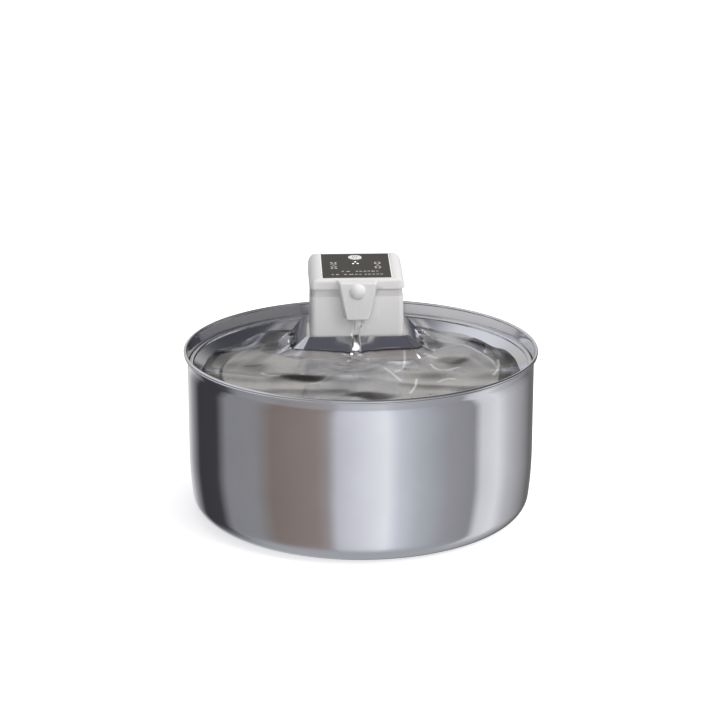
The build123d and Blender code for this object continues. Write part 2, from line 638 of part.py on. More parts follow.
def port_features(body):
    """Cut the port's opening and the flap's seat, and add the hinge ears and the board's pegs."""
    inner_y = UNIT_BACK - HOUSING_WALL
    half_w = FLAP_W / 2 + SLIDE_FIT
    body -= slab(-half_w, half_w, FLAP_SEAT_Y, UNIT_BACK + 1,
                 PORT_Z - FLAP_H / 2 - SLIDE_FIT, FLAP_TOP + SLIDE_FIT)
    body -= stadium_y(PORT_W + 2 * SLIDE_FIT, PORT_H + 2 * SLIDE_FIT, inner_y - 1, UNIT_BACK, PORT_Z)
    ear_in = FLAP_KNUCKLE_W / 2 + SLIDE_FIT
    body -= slab(-ear_in, ear_in, FLAP_SEAT_Y, UNIT_BACK + 1, PORT_Z, FLAP_PIN_Z + FLAP_KNUCKLE_R + SLIDE_FIT)
    for x0, x1 in ((ear_in, ear_in + FLAP_EAR_W), (-ear_in - FLAP_EAR_W, -ear_in)):
        body += along_x(FLAP_PIN_Y, FLAP_PIN_Z, x0, x1, FLAP_KNUCKLE_R)
        body += slab(x0, x1, PORT_WALL_Y - 1, FLAP_PIN_Y, FLAP_TOP + SLIDE_FIT, FLAP_PIN_Z + FLAP_KNUCKLE_R)
    body -= along_x(FLAP_PIN_Y, FLAP_PIN_Z, -ear_in - FLAP_EAR_W, ear_in + FLAP_EAR_W, FLAP_PIN_R + SNUG)
    for x in (PEG_INSET - CHARGE_BOARD_W / 2, CHARGE_BOARD_W / 2 - PEG_INSET):
        for z in (PORT_Z - PEG_RISE, PORT_Z + PEG_RISE):
            body += along_y(x, z, CHARGE_BOARD_Y + SNUG, inner_y + HOUSING_WALL / 4, PEG_R)
    return body


def port_cover():
    """Silicone flap over the charging port, hanging from a knuckle."""
    y0 = FLAP_SEAT_Y + SEAT_GAP
    flap = slab(-FLAP_W / 2, FLAP_W / 2, y0, y0 + FLAP_T, PORT_Z - FLAP_H / 2, FLAP_TOP)
    flap = fillet(flap.edges().filter_by(Axis.Y).group_by(Axis.Z)[0], FLAP_CORNER)
    knuckle_half = FLAP_KNUCKLE_W / 2
    flap -= slab(-FLAP_W, FLAP_W, y0 - 1, y0 + THROUGH, FLAP_TOP - 2 * SLIDE_FIT, FLAP_TOP + 1)
    flap += slab(-knuckle_half, knuckle_half, y0, y0 + FLAP_T, FLAP_TOP - 1, FLAP_PIN_Z)
    flap += along_x(FLAP_PIN_Y, FLAP_PIN_Z, -knuckle_half, knuckle_half, FLAP_KNUCKLE_R)
    pull_z = PORT_Z - FLAP_H / 2 + PULL_H / 2
    flap += slab(-PULL_W / 2, PULL_W / 2, y0 + FLAP_T - SNUG, y0 + FLAP_T + PULL_PROUD,
                 pull_z, pull_z + PULL_H)
    return flap - along_x(FLAP_PIN_Y, FLAP_PIN_Z, -knuckle_half, knuckle_half, FLAP_PIN_R + RUNNING)


def port_cover_pin():
    """Steel pin of the flap's hinge."""
    half = FLAP_KNUCKLE_W / 2 + SLIDE_FIT + FLAP_EAR_W
    return along_x(FLAP_PIN_Y, FLAP_PIN_Z, -half, half, FLAP_PIN_R)


def charging_port():
    """Steel shell of the charging socket with its contact tongue."""
    y1 = CHARGE_BOARD_Y + PORT_DEPTH
    shell = stadium_y(PORT_W, PORT_H, CHARGE_BOARD_Y, y1, PORT_Z)
    shell -= stadium_y(PORT_W - 2 * PORT_SHEET, PORT_H - 2 * PORT_SHEET,
                       CHARGE_BOARD_Y + PORT_FLOOR, y1 + 1, PORT_Z)
    return shell + slab(-CONTACT_W / 2, CONTACT_W / 2, CHARGE_BOARD_Y + 1, y1 - CONTACT_INSET,
                        PORT_Z - CONTACT_T / 2, PORT_Z + CONTACT_T / 2)


def charge_board():
    """Small upright board behind the charging socket."""
    half = CHARGE_BOARD_W / 2
    return slab(-half, half, CHARGE_BOARD_Y - CHARGE_BOARD_T, CHARGE_BOARD_Y,
                PORT_Z - CHARGE_BOARD_H / 2, PORT_Z + CHARGE_BOARD_H / 2)


# ---------------------------------------------------------------- cover with its tongue
def cover_form(inset, top_inset, low):
    """The cover's outside moved inwards: plan, front and side outlines cut each other."""
    margin = 3.0
    tall = top_z(COVER_FRONT + COVER_D) + margin
    plan = block(COVER_W - 2 * inset, COVER_D - 2 * inset, low, tall, COVER_CORNER - inset)

    drop = top_inset / cos(SLOPE)
    top = top_z(COVER_FRONT - margin) - drop
    bottom = low - COVER_D * tan(SLOPE) - margin
    front_face = Pos(0, (top + bottom) / 2) * Rectangle(COVER_W - 2 * inset, top - bottom)
    front_face = fillet(front_face.vertices().group_by(Axis.Y)[-1], COVER_SIDE_R - inset)
    facing = Plane(origin=(0, COVER_FRONT - margin, 0), x_dir=(1, 0, 0), z_dir=(0, -1, 0))
    length = (COVER_D + 2 * margin) / cos(SLOPE)
    front = extrude(facing * front_face, amount=length, dir=(0, cos(SLOPE), sin(SLOPE)))

    y0 = COVER_FRONT + inset
    y1 = COVER_FRONT + COVER_D - inset
    low_side = low - margin
    corners = [(y0, low_side), (y1, low_side), (y1, top_z(y1) - drop), (y0, top_z(y0) - drop)]
    side_face = make_face(Polyline(*corners, close=True))
    uppers = side_face.vertices().group_by(Axis.Y)[-1] + side_face.vertices().group_by(Axis.Y)[-2]
    side_face = fillet(uppers, max(COVER_EDGE_R - inset, 0.5))
    right = Plane(origin=(-COVER_W, 0, 0), x_dir=(0, 1, 0), z_dir=(1, 0, 0))
    return (plan & extrude(right * side_face, amount=2 * COVER_W, dir=(1, 0, 0))) & front


def tongue_outline(y, widen, inset=0.0):
    """Front view of the tongue in the plane at y, wider by widen on each flank."""
    top = TONGUE_TOP_W / 2 + widen - inset
    low = TONGUE_BOTTOM_W / 2 + widen - inset
    points = [(-low, TONGUE_BOTTOM + inset), (low, TONGUE_BOTTOM + inset),
              (top, TONGUE_TOP - inset), (-top, TONGUE_TOP - inset)]
    plane = Plane(origin=(0, y, 0), x_dir=(1, 0, 0), z_dir=(0, -1, 0))
    return plane * make_face(Polyline(*points, close=True))


def tongue():
    """Tapered front piece that reaches down over the housing's front wall."""
    back = COVER_FRONT
    body = loft([tongue_outline(back, TONGUE_FLARE), tongue_outline(TONGUE_Y, 0)], ruled=True)
    front_face = body.faces().sort_by(Axis.Y)[0]
    runs = [edge for edge in body.edges() if abs(edge.tangent_at(0.5).Y) > 0.5]
    body = fillet(front_face.edges() + runs, TONGUE_EDGE_R)
    root = tongue_outline(back, TONGUE_FLARE)
    above_seam = slab(-COVER_W, COVER_W, back - 1, back + 2 * COVER_WALL, COVER_Z, TONGUE_TOP)
    reach = extrude(root, amount=COVER_WALL, dir=(0, 1, 0)) & above_seam
    return body + reach


def top_cover():
    """Sloping cover: panel recess, screw wells, tongue with its cavity, and a sealing ledge."""
    cover = cover_form(0, 0, COVER_Z) + tongue()
    inner = cover_form(COVER_WALL, COVER_TOP_WALL, COVER_Z - 1)
    cover -= inner
    ring = block(COVER_W - COVER_WALL, COVER_D - COVER_WALL, LEDGE_Z, LEDGE_Z + 1, COVER_CORNER) \
        - block(RIM_HOLE_W, RIM_HOLE_D, LEDGE_Z - 1, LEDGE_Z + 2, RIM_HOLE_CORNER)
    cover += ring & cover_form(COVER_WALL / 2, COVER_TOP_WALL / 2, COVER_Z)
    cavity = loft([tongue_outline(COVER_FRONT + PRESSED, TONGUE_FLARE, TONGUE_WALL),
                   tongue_outline(TONGUE_Y + TONGUE_WALL, 0, TONGUE_WALL)], ruled=True)
    cover -= cavity
    cover -= post(0, SPOUT_Y, TONGUE_BOTTOM - 1, TONGUE_BOTTOM + TONGUE_WALL + 1, SPOUT_R + SNUG)
    cover -= along_y(0, DOME_Z, TONGUE_Y - 1, TONGUE_Y + TONGUE_WALL + 1, DOME_R + SNUG)
    cover -= along_y(0, DOME_Z + SENSOR_HOLE_RISE, TONGUE_Y + 2, COVER_FRONT + COVER_WALL + 1, SENSOR_HOLE_R)
    for x, y in COVER_BOSSES:
        boss = post(x, y, COVER_BOSS_SPLIT, top_z(y), BOSS_R)
        cover += boss & cover_form(COVER_WALL / 2, COVER_TOP_WALL / 2, COVER_BOSS_SPLIT)
        cover -= post(x, y, COVER_BOSS_SPLIT - 1, top_z(y), SCREW_R + SLIDE_FIT)
        cover -= post(x, y, cover_screw_seat(y), top_z(y) + 3, SCREW_HEAD_R + SLIDE_FIT)
    recess = PANEL_SIDE + 2 * SNUG
    cover -= on_top(0, PANEL_Y) * Box(recess, recess, 2 * (PANEL_SHEET + SNUG))
    cover -= on_top(0, BUTTON_Y) * ellipse_plug(SLIDE_FIT, -THROUGH, THROUGH)
    for x, y in LIGHTS:
        cover -= post(x, y, COVER_Z, top_z(y) + 1, LIGHT_R + SNUG)
    return cover


def cover_screw_seat(y):
    """Height of the seat under a cover screw's head."""
    return top_z(y) - PANEL_SHEET - SCREW_HEAD - 2 * SLIDE_FIT


def ellipse_plug(grow, low, high):
    """Elliptic bar of the button's section, grown sideways, between two heights."""
    return extrude(Pos(0, 0, low) * Ellipse(BUTTON_W / 2 + grow, BUTTON_D / 2 + grow), high - low)


def control_panel():
    """Glossy square overlay with openings for the button and the lights."""
    panel = on_top(0, PANEL_Y, PANEL_SHEET / 2) * Box(PANEL_SIDE, PANEL_SIDE, PANEL_SHEET)
    panel -= on_top(0, BUTTON_Y) * ellipse_plug(SLIDE_FIT, -THROUGH, THROUGH)
    for x, y in LIGHTS:
        panel -= post(x, y, COVER_Z, top_z(y) + 1, LIGHT_R + SNUG)
    return panel


def mode_button():
    """Oval key with a retaining flange below the cover and a stem down to the switch."""
    drop = COVER_TOP_WALL + BUTTON_TRAVEL + SEAT_GAP
    key = on_top(0, BUTTON_Y) * ellipse_plug(0, -drop, BUTTON_PROUD)
    rim = key.edges().sort_by(Axis.Z)[-1]
    key = fillet(rim, BUTTON_EDGE_R)
    flange_top = -COVER_TOP_WALL - SEAT_GAP
    key += on_top(0, BUTTON_Y) * ellipse_plug(BUTTON_FLANGE, flange_top - BUTTON_FLANGE_T, flange_top)
    switch_top = BOARD_Z + BOARD_T + SWITCH_H
    gap = (top_z(BUTTON_Y) - switch_top) / cos(SLOPE)
    stem_end = -(gap - BUTTON_TRAVEL - 2 * SEAT_GAP)
    stem = Pos(0, 0, (stem_end + flange_top) / 2) * Cylinder(BUTTON_STEM_R, flange_top - stem_end)
    return key + on_top(0, BUTTON_Y) * stem


def light_pipes():
    """Three clear rods that carry the lights from the board to the panel."""
    low = BOARD_Z + BOARD_T + LIGHT_GAP
    rods = []
    for x, y in LIGHTS:
        rods.append(post(x, y, low, top_z(y) - SNUG, LIGHT_R))
    return Compound(rods)


def sensor_dome():
    """Lens of the motion sensor: a thin spherical cap with a short skirt."""
    sphere_r = (DOME_R ** 2 + DOME_PROUD ** 2) / (2 * DOME_PROUD)
    centre_y = TONGUE_Y - DOME_PROUD + sphere_r
    ball = Pos(0, centre_y, DOME_Z) * Sphere(sphere_r)
    hollow = Pos(0, centre_y, DOME_Z) * Sphere(sphere_r - DOME_WALL)
    cap = (ball - hollow) & along_y(0, DOME_Z, TONGUE_Y - 2 * DOME_PROUD, TONGUE_Y, DOME_R)
    skirt = along_y(0, DOME_Z, TONGUE_Y - SNUG, TONGUE_Y + TONGUE_WALL, DOME_R) \
        - along_y(0, DOME_Z, TONGUE_Y - 1, TONGUE_Y + THROUGH, DOME_R - DOME_SKIRT)
    return cap + skirt


SENSOR_BOARD_Y = COVER_FRONT - SENSOR_BOARD_T


def motion_sensor():
    """Metal can of the motion sensor behind the lens."""
    front = TONGUE_Y + TONGUE_WALL
    can = along_y(0, DOME_Z, front, SENSOR_BOARD_Y - SENSOR_FLANGE_T, SENSOR_R)
    flange = along_y(0, DOME_Z, SENSOR_BOARD_Y - SENSOR_FLANGE_T, SENSOR_BOARD_Y, SENSOR_FLANGE_R)
    half = SENSOR_WINDOW / 2
    window = slab(-half, half, TONGUE_Y, front + SENSOR_WINDOW_DEEP, DOME_Z - half, DOME_Z + half)
    return can + flange - window


def sensor_board():
    """Small board that carries the motion sensor, against the cover's front wall."""
    return slab(-SENSOR_BOARD_W / 2, SENSOR_BOARD_W / 2, SENSOR_BOARD_Y, COVER_FRONT - SNUG,
                DOME_Z - SENSOR_BOARD_DOWN, DOME_Z + SENSOR_BOARD_UP)


# ---------------------------------------------------------------- seals and screws
def collar_gasket():
    """Silicone ring between the housing and the tray's island."""
    low = ISLAND_Z + SEAT_GAP / 2
    ring = block(UNIT_W - 2 * COLLAR_SETBACK, UNIT_D - 2 * COLLAR_SETBACK, low, COLLAR_Z,
                 UNIT_CORNER - COLLAR_SETBACK)
    return ring - block(OPENING_W, OPENING_D, low - 1, COLLAR_Z + 1, OPENING_CORNER)


def housing_gasket():
    """Sealing ring in the groove of the lower housing's spigot."""
    inner_w = UNIT_W - 2 * HOUSING_WALL - 2 * SNUG - 2 * SPIGOT_GROOVE + 2 * SNUG
    inner_d = inner_w - UNIT_W + UNIT_D
    outer_w = UNIT_W - 2 * HOUSING_WALL - 2 * PRESSED
    outer_d = outer_w - UNIT_W + UNIT_D
    low = COLLAR_Z + SPIGOT_GROOVE_Z + SNUG
    high = low + SPIGOT_RING - 2 * SNUG
    corner = UNIT_CORNER - HOUSING_WALL
    return block(outer_w, outer_d, low, high, corner) - block(inner_w, inner_d, low - 1, high + 1, corner)


def cover_gasket():
    """Flat sealing ring between the housing's rim and the cover's ledge."""
    ring = block(RIM_W, RIM_D, RIM_Z, LEDGE_Z, RIM_CORNER)
    return ring - block(RIM_HOLE_W, RIM_HOLE_D, RIM_Z - 1, LEDGE_Z + 1, RIM_HOLE_CORNER)


def cover_screws():
    """Screws under the control panel, down into the upper housing's posts."""
    return Compound([screw(x, y, cover_screw_seat(y), COVER_SCREW_L) for x, y in COVER_BOSSES])


def housing_screws():
    """Screws that join the two housings from inside."""
    seat = LEDGE_BOTTOM + LEDGE
    return Compound([screw(x, y, seat, HOUSING_SCREW_L) for x, y in HOUSING_BOSSES])


def inlet_plate_screws():
    """Screws that hold the inlet plate, driven from the drawer bay."""
    screws = []
    for x, y in HOUSING_BOSSES:
        shaft = post(x, y, BAY_CEILING + 1, BAY_CEILING + 1 + INLET_SCREW_L, SCREW_R)
        screws.append(shaft + post(x, y, BAY_CEILING + SNUG, BAY_CEILING + 1, SCREW_HEAD_R))
    return Compound(screws)


# ---------------------------------------------------------------- water path
def riser_tube():
    """Hose from the pump up the front of the housing and over into the spout."""
    bend_r = (RISER_Y - SPOUT_Y) / 2
    low = INLET_TOP + CHAMBER_H / 2
    spout_top = TONGUE_BOTTOM + SPOUT_LENGTH - SPOUT_DROP
    up = Line((0, RISER_Y, low), (0, RISER_Y, RISER_BEND_Z))
    over = ThreePointArc((0, RISER_Y, RISER_BEND_Z), (0, RISER_Y - bend_r, RISER_BEND_Z + bend_r),
                         (0, SPOUT_Y, RISER_BEND_Z))
    down = Line((0, SPOUT_Y, RISER_BEND_Z), (0, SPOUT_Y, spout_top + SNUG))
    path = up + over + down
    start = Plane(origin=(0, RISER_Y, low), z_dir=(0, 0, 1))
    return sweep(start * (Circle(RISER_R) - Circle(RISER_BORE_R)), path=path)


def spout_nozzle():
    """Clear nozzle in the tongue's underside."""
    low = TONGUE_BOTTOM - SPOUT_DROP
    high = low + SPOUT_LENGTH
    nozzle = pipe(0, SPOUT_Y, low, high, SPOUT_R, SPOUT_BORE_R)
    rims = nozzle.edges().filter_by(GeomType.CIRCLE).group_by(Axis.Z)[0]
    return fillet(rims.sort_by(SortBy.RADIUS)[-1], SPOUT_TIP_R)


def pump_volute():
    """Pump casing: a ring wall round the impeller with an outlet duct to the riser."""
    low = INLET_TOP + SNUG
    high = CHAMBER_TOP - SNUG
    outer_r = VOLUTE_R + VOLUTE_WALL
    duct_front = LOWER_FRONT + HOUSING_WALL + SNUG
    half = RISER_R + DUCT_WALL
    body = post(0, UNIT_Y, low, high, outer_r) + slab(-half, half, duct_front, UNIT_Y, low, high)
    body -= post(0, UNIT_Y, low - 1, high + 1, VOLUTE_R)
    body -= slab(-DUCT_W / 2, DUCT_W / 2, RISER_Y, UNIT_Y, low + VOLUTE_LID, high - VOLUTE_LID)
    return body - post(0, RISER_Y, INLET_TOP + CHAMBER_H / 2 - SNUG, high + 1, RISER_R + SNUG)


def inlet_plate():
    """Plate under the pump with a spoked inlet and the shaft's lower socket."""
    cavity_w = LOWER_W - 2 * HOUSING_WALL - 2 * SNUG
    cavity_d = LOWER_D - 2 * HOUSING_WALL - 2 * SNUG
    plate = block(cavity_w, cavity_d, BAY_CEILING, INLET_TOP - SNUG, max(LOWER_CORNER - HOUSING_WALL, 0.5))
    plate -= pipe(0, UNIT_Y, BAY_CEILING - 1, INLET_TOP + 1, INLET_R, INLET_HUB_R)
    spoke = slab(INLET_HUB_R - 0.5, INLET_R + 0.5, -SPOKE_W / 2, SPOKE_W / 2,
                 BAY_CEILING, INLET_TOP - SNUG)
    for i in range(SPOKE_COUNT):
        plate += Pos(0, UNIT_Y, 0) * Rot(0, 0, 360 / SPOKE_COUNT * i) * spoke
    plate -= post(0, UNIT_Y, BAY_CEILING + INLET_SOCKET_FLOOR, INLET_TOP + 1, SHAFT_R + PRESSED)
    for x, y in HOUSING_BOSSES:
        plate -= post(x, y, BAY_CEILING - 1, BAY_CEILING + 1, SCREW_HEAD_R + SLIDE_FIT)
        plate -= post(x, y, BAY_CEILING - 1, INLET_TOP + 1, SCREW_R + SLIDE_FIT)
    return plate


def rotor_can():
    """Sealed cup between the wet rotor and the dry stator."""
    low = DRY_Z
    roof = CAN_TOP - CAN_SOCKET_ROOF
    socket_low = CAN_TOP - CAN_SOCKET_H
    can = lathe((CAN_R, low), (CAN_FLANGE_R, low), (CAN_FLANGE_R, low + CAN_FLANGE),
                (CAN_R + CAN_WALL, low + CAN_FLANGE), (CAN_R + CAN_WALL, CAN_TOP), (0, CAN_TOP),
                (0, roof), (SHAFT_R + PRESSED, roof), (SHAFT_R + PRESSED, socket_low),
                (CAN_SOCKET_R, socket_low), (CAN_SOCKET_R, CAN_TOP - CAN_CAP), (CAN_R, CAN_TOP - CAN_CAP))
    return Pos(0, UNIT_Y, 0) * can


def impeller_shaft():
    """Ceramic shaft fixed in the inlet plate and in the can."""
    return post(0, UNIT_Y, BAY_CEILING + INLET_SOCKET_FLOOR, CAN_TOP - CAN_SOCKET_ROOF - SNUG, SHAFT_R)


def impeller():
    """Impeller with curved blades under a plate, on a long stem that carries the magnet."""
    plate_low = CHAMBER_TOP - IMPELLER_GAP - IMPELLER_PLATE
    blade_low = INLET_TOP + IMPELLER_GAP
    body = post(0, UNIT_Y, plate_low, plate_low + IMPELLER_PLATE, IMPELLER_R)
    body += post(0, UNIT_Y, blade_low, CAN_TOP - STEM_TOP_GAP, STEM_R)
    blade_top = plate_low + IMPELLER_PLATE / 4
    blade = pipe(BLADE_CURVE_R, 0, blade_low, blade_top, BLADE_CURVE_R, BLADE_CURVE_R - BLADE_T)
    blade &= slab(0, IMPELLER_R, 0, IMPELLER_R, blade_low, blade_top)
    blade &= pipe(0, 0, blade_low, blade_top, IMPELLER_R - BLADE_SETBACK, STEM_R - BLADE_ROOT)
    for i in range(BLADE_COUNT):
        body += Pos(0, UNIT_Y, 0) * Rot(0, 0, 360 / BLADE_COUNT * i) * blade
    return body - post(0, UNIT_Y, blade_low - 1, CAN_TOP, SHAFT_R + RUNNING)


def rotor_magnet():
    """Ring magnet on the impeller's stem."""
    low = DRY_Z + MAGNET_LIFT
    return pipe(0, UNIT_Y, low, low + MAGNET_H, MAGNET_R, STEM_R + PRESSED)


def stator_core():
    """Laminated ring with inward poles round the can."""
    core = pipe(0, UNIT_Y, STATOR_Z, STATOR_Z + STATOR_H, STATOR_R, STATOR_R - STATOR_RIM)
    for i in range(POLE_COUNT):
        pole = slab(CAN_R, STATOR_R - STATOR_RIM + 0.5, -POLE_W / 2, POLE_W / 2, STATOR_Z, STATOR_Z + STATOR_H)
        core += Pos(0, UNIT_Y, 0) * Rot(0, 0, 45 + 360 / POLE_COUNT * i) * pole
    return core - post(0, UNIT_Y, STATOR_Z - 1, STATOR_Z + STATOR_H + 1, CAN_R + CAN_WALL + SLIDE_FIT)


def stator_coils():
    """Copper windings round the poles."""
    inner = CAN_R + CAN_WALL + 2 * SLIDE_FIT + COIL_BUILD
    wide = POLE_W / 2 + COIL_BUILD
    outer = sqrt((STATOR_R - STATOR_RIM - SLIDE_FIT) ** 2 - wide ** 2)
    coils = []
    for i in range(POLE_COUNT):
        coil = slab(inner, outer, -wide, wide, STATOR_Z - COIL_BUILD, STATOR_Z + STATOR_H + COIL_BUILD)
        coil -= slab(inner - 1, outer + 1, -POLE_W / 2 - SNUG, POLE_W / 2 + SNUG,
                     STATOR_Z - SNUG, STATOR_Z + STATOR_H + SNUG)
        coils.append(Pos(0, UNIT_Y, 0) * Rot(0, 0, 45 + 360 / POLE_COUNT * i) * coil)
    return Compound(coils)


# ---------------------------------------------------------------- filter
def filter_drawer():
    """Drawer that pulls out forwards: slotted floor and face, and a finger lip."""
    half = DRAWER_W / 2
    front = LOWER_FRONT
    back = front + DRAWER_DEPTH
    floor = DRAWER_Z + DRAWER_WALL
    body = slab(-half, half, front, back, DRAWER_Z, DRAWER_TOP)
    body -= slab(DRAWER_WALL - half, half - DRAWER_WALL, front + DRAWER_FACE, back - DRAWER_WALL,
                 floor, DRAWER_TOP + 1)
    for x in slot_places():
        body -= slab(x - SLOT_W / 2, x + SLOT_W / 2, front + DRAWER_MARGIN, back - DRAWER_MARGIN,
                     DRAWER_Z - 1, floor + 1)
        body -= slab(x - FACE_SLOT_W / 2, x + FACE_SLOT_W / 2, front - 1, front + DRAWER_FACE + 1,
                     floor + 1, DRAWER_TOP - FACE_SLOT_TOP)
    lip_top = DRAWER_TOP - FINGER_LIP_DROP
    return body + slab(-FINGER_LIP_W / 2, FINGER_LIP_W / 2, front - FINGER_LIP_D, front + DRAWER_FACE / 4,
                       lip_top - FINGER_LIP_T, lip_top)


def drawer_insert(low, high):
    """Block that fills the drawer's plan between two heights."""
    half = DRAWER_W / 2 - DRAWER_WALL - SLIDE_FIT
    front = LOWER_FRONT + DRAWER_FACE + SLIDE_FIT
    back = LOWER_FRONT + DRAWER_DEPTH - DRAWER_WALL - SLIDE_FIT
    return slab(-half, half, front, back, low, high)


def pre_filter_sponge():
    """Foam sheet on the drawer's floor."""
    low = DRAWER_Z + DRAWER_WALL + SNUG
    return drawer_insert(low, low + SPONGE_H)


def filter_cartridge():
    """Carbon and resin cartridge above the foam, with a raised rim and a slotted lid."""
    low = DRAWER_Z + DRAWER_WALL + SPONGE_H + 2 * SNUG
    high = DRAWER_TOP - LID_GAP
    body = drawer_insert(low, high)
    for x in slot_places(LID_SLOT_PITCH):
        body -= slab(x - LID_SLOT_W / 2, x + LID_SLOT_W / 2, UNIT_Y - LID_SLOT_FRONT, UNIT_Y + LID_SLOT_BACK,
                     high - LID_SLOT_DEEP, high + 1)
    return body


# ---------------------------------------------------------------- power and control
def battery_holder():
    """Upright double sleeve on four legs, with posts that carry the main board."""
    half_x = CELL_PITCH / 2 + CELL_R + HOLDER_WALL
    half_y = CELL_R + HOLDER_WALL
    base = CELL_Z - HOLDER_WALL
    body = slab(-half_x, half_x, UNIT_Y - half_y, UNIT_Y + half_y, base, HOLDER_TOP)
    for side in (-1, 1):
        x = side * CELL_PITCH / 2
        body -= post(x, UNIT_Y, CELL_Z, HOLDER_TOP + 1, CELL_R + 2 * SNUG)
        for rise in HOLDER_WINDOWS:
            middle = CELL_Z + rise
            body -= slab(x - WINDOW_W / 2, x + WINDOW_W / 2, UNIT_Y - half_y - 1, UNIT_Y + half_y + 1,
                         middle - WINDOW_H / 2, middle + WINDOW_H / 2)
    leg_x = half_x - HOLDER_LEG / 2
    leg_y = half_y - HOLDER_LEG / 2
    for x in (-leg_x, leg_x):
        for y in (UNIT_Y - leg_y, UNIT_Y + leg_y):
            body += slab(x - HOLDER_LEG / 2, x + HOLDER_LEG / 2, y - HOLDER_LEG / 2, y + HOLDER_LEG / 2,
                         DRY_Z + SNUG, base + 1)
            body += slab(x - HOLDER_LEG / 2, x + HOLDER_LEG / 2, y - HOLDER_LEG / 2, y + HOLDER_LEG / 2,
                         HOLDER_TOP - 1, BOARD_Z - SNUG) \
                - post(side_of(x) * CELL_PITCH / 2, UNIT_Y, HOLDER_TOP - 2, BOARD_Z + 1, CELL_R + 2 * SNUG)
    return body


def side_of(x):
    """Minus one on the left, one on the right."""
    return -1 if x < 0 else 1


def battery_cell(side):
    """Cylindrical cell with its raised end contact."""
    x = side * CELL_PITCH / 2
    low = CELL_Z + SNUG
    shoulder = low + CELL_H - CELL_CAP_H
    can = fillet(post(x, UNIT_Y, low, shoulder, CELL_R).edges().filter_by(GeomType.CIRCLE), CELL_EDGE_R)
    return can + post(x, UNIT_Y, shoulder - STRIP_T, low + CELL_H - STRIP_T, CELL_CAP_R)


def battery_contacts():
    """Nickel strip that joins the cells' upper ends to the board."""
    low = CELL_Z + CELL_H + 2 * SNUG - STRIP_T
    reach = (CELL_PITCH + STRIP_W) / 2
    strip = slab(-reach, reach, UNIT_Y - STRIP_W / 2, UNIT_Y + STRIP_W / 2, low, low + STRIP_T)
    return strip + slab(-STRIP_TAB_W / 2, STRIP_TAB_W / 2, UNIT_Y - STRIP_W / 2, UNIT_Y + STRIP_W / 2,
                        low, BOARD_Z - SNUG)


def main_board():
    """Control board under the cover with its components."""
    back = UNIT_Y + BOARD_D / 2
    board = slab(-BOARD_W / 2, BOARD_W / 2, UNIT_Y - BOARD_D / 2, back, BOARD_Z, BOARD_Z + BOARD_T)
    tab_back = switch_y() + SWITCH_SIDE / 2 + BOARD_MARGIN
    board += slab(-SWITCH_SIDE, SWITCH_SIDE, back - 1, tab_back, BOARD_Z, BOARD_Z + BOARD_T)
    top = BOARD_Z + BOARD_T
    lamps = [(x, y - UNIT_Y, LAMP_SIDE, LAMP_H) for x, y in LIGHTS]
    for x, y, side, height in list(CHIPS) + lamps:
        board += slab(x - side / 2, x + side / 2, UNIT_Y + y - side / 2, UNIT_Y + y + side / 2,
                      top - SOLDER, top + height)
    return board


def mode_switch():
    """Tactile switch under the button."""
    top = BOARD_Z + BOARD_T
    half = SWITCH_SIDE / 2
    y = switch_y()
    body = slab(-half, half, y - half, y + half, top + SNUG, top + SWITCH_BODY_H)
    return body + post(0, y, top + SWITCH_BODY_H - SOLDER, top + SWITCH_H, SWITCH_PLUNGER_R)


def switch_y():
    """The switch stands where the button's slanting stem comes down."""
    rise = top_z(BUTTON_Y) - BOARD_Z - BOARD_T - SWITCH_H
    return BUTTON_Y + rise * tan(SLOPE)


def pump_lead():
    """Insulated lead from the stator up to the control board."""
    in_y = UNIT_Y + BOARD_D / 2 - LEAD_BEND
    out_y = UNIT_Y + STATOR_R + LEAD_OUT
    low = STATOR_Z + LEAD_RISE
    places = [(UNIT_Y + LEAD_START, low), (out_y, low), (out_y, BOARD_Z - LEAD_SHIFT),
              (in_y, BOARD_Z - 2 * LEAD_BEND), (in_y, BOARD_Z - SNUG)]
    path = FilletPolyline(*[(LEAD_X, y, z) for y, z in places], radius=LEAD_BEND)
    start = Plane(origin=path @ 0, z_dir=path % 0)
    return sweep(start * Circle(LEAD_R), path=path)


NODES = {
    "reservoir_bowl": reservoir_bowl,
    "base_pads": base_pads,
    "tray_rests": tray_rests,
    "drinking_tray": drinking_tray,
    "lower_housing": lower_housing,
    "upper_housing": upper_housing,
    "top_cover": top_cover,
    "control_panel": control_panel,
    "mode_button": mode_button,
    "light_pipes": light_pipes,
    "sensor_dome": sensor_dome,
    "motion_sensor": motion_sensor,
    "sensor_board": sensor_board,
    "spout_nozzle": spout_nozzle,
    "riser_tube": riser_tube,
    "collar_gasket": collar_gasket,
    "housing_gasket": housing_gasket,
    "cover_gasket": cover_gasket,
    "cover_screws": cover_screws,
    "housing_screws": housing_screws,
    "inlet_plate_screws": inlet_plate_screws,
    "port_cover": port_cover,
    "port_cover_pin": port_cover_pin,
    "charging_port": charging_port,
    "charge_board": charge_board,
    "pump_volute": pump_volute,
    "inlet_plate": inlet_plate,
    "rotor_can": rotor_can,
    "impeller_shaft": impeller_shaft,
    "impeller": impeller,
    "rotor_magnet": rotor_magnet,
    "stator_core": stator_core,
    "stator_coils": stator_coils,
    "filter_drawer": filter_drawer,
    "pre_filter_sponge": pre_filter_sponge,
    "filter_cartridge": filter_cartridge,
    "battery_holder": battery_holder,
    "battery_cell_left": lambda: battery_cell(-1),
    "battery_cell_right": lambda: battery_cell(1),
    "battery_contacts": battery_contacts,
    "main_board": main_board,
    "mode_switch": mode_switch,
    "pump_lead": pump_lead,
}

for node, make in NODES.items():
    save(node, make())
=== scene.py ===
"""Looks of a pet water fountain: steel bowl and tray, pump unit with its panel, and the water.

Metres, in the part's frame: +Z up, -Y the front, the pump unit at +Y. Helpers take millimetres.
"""

import json
import math

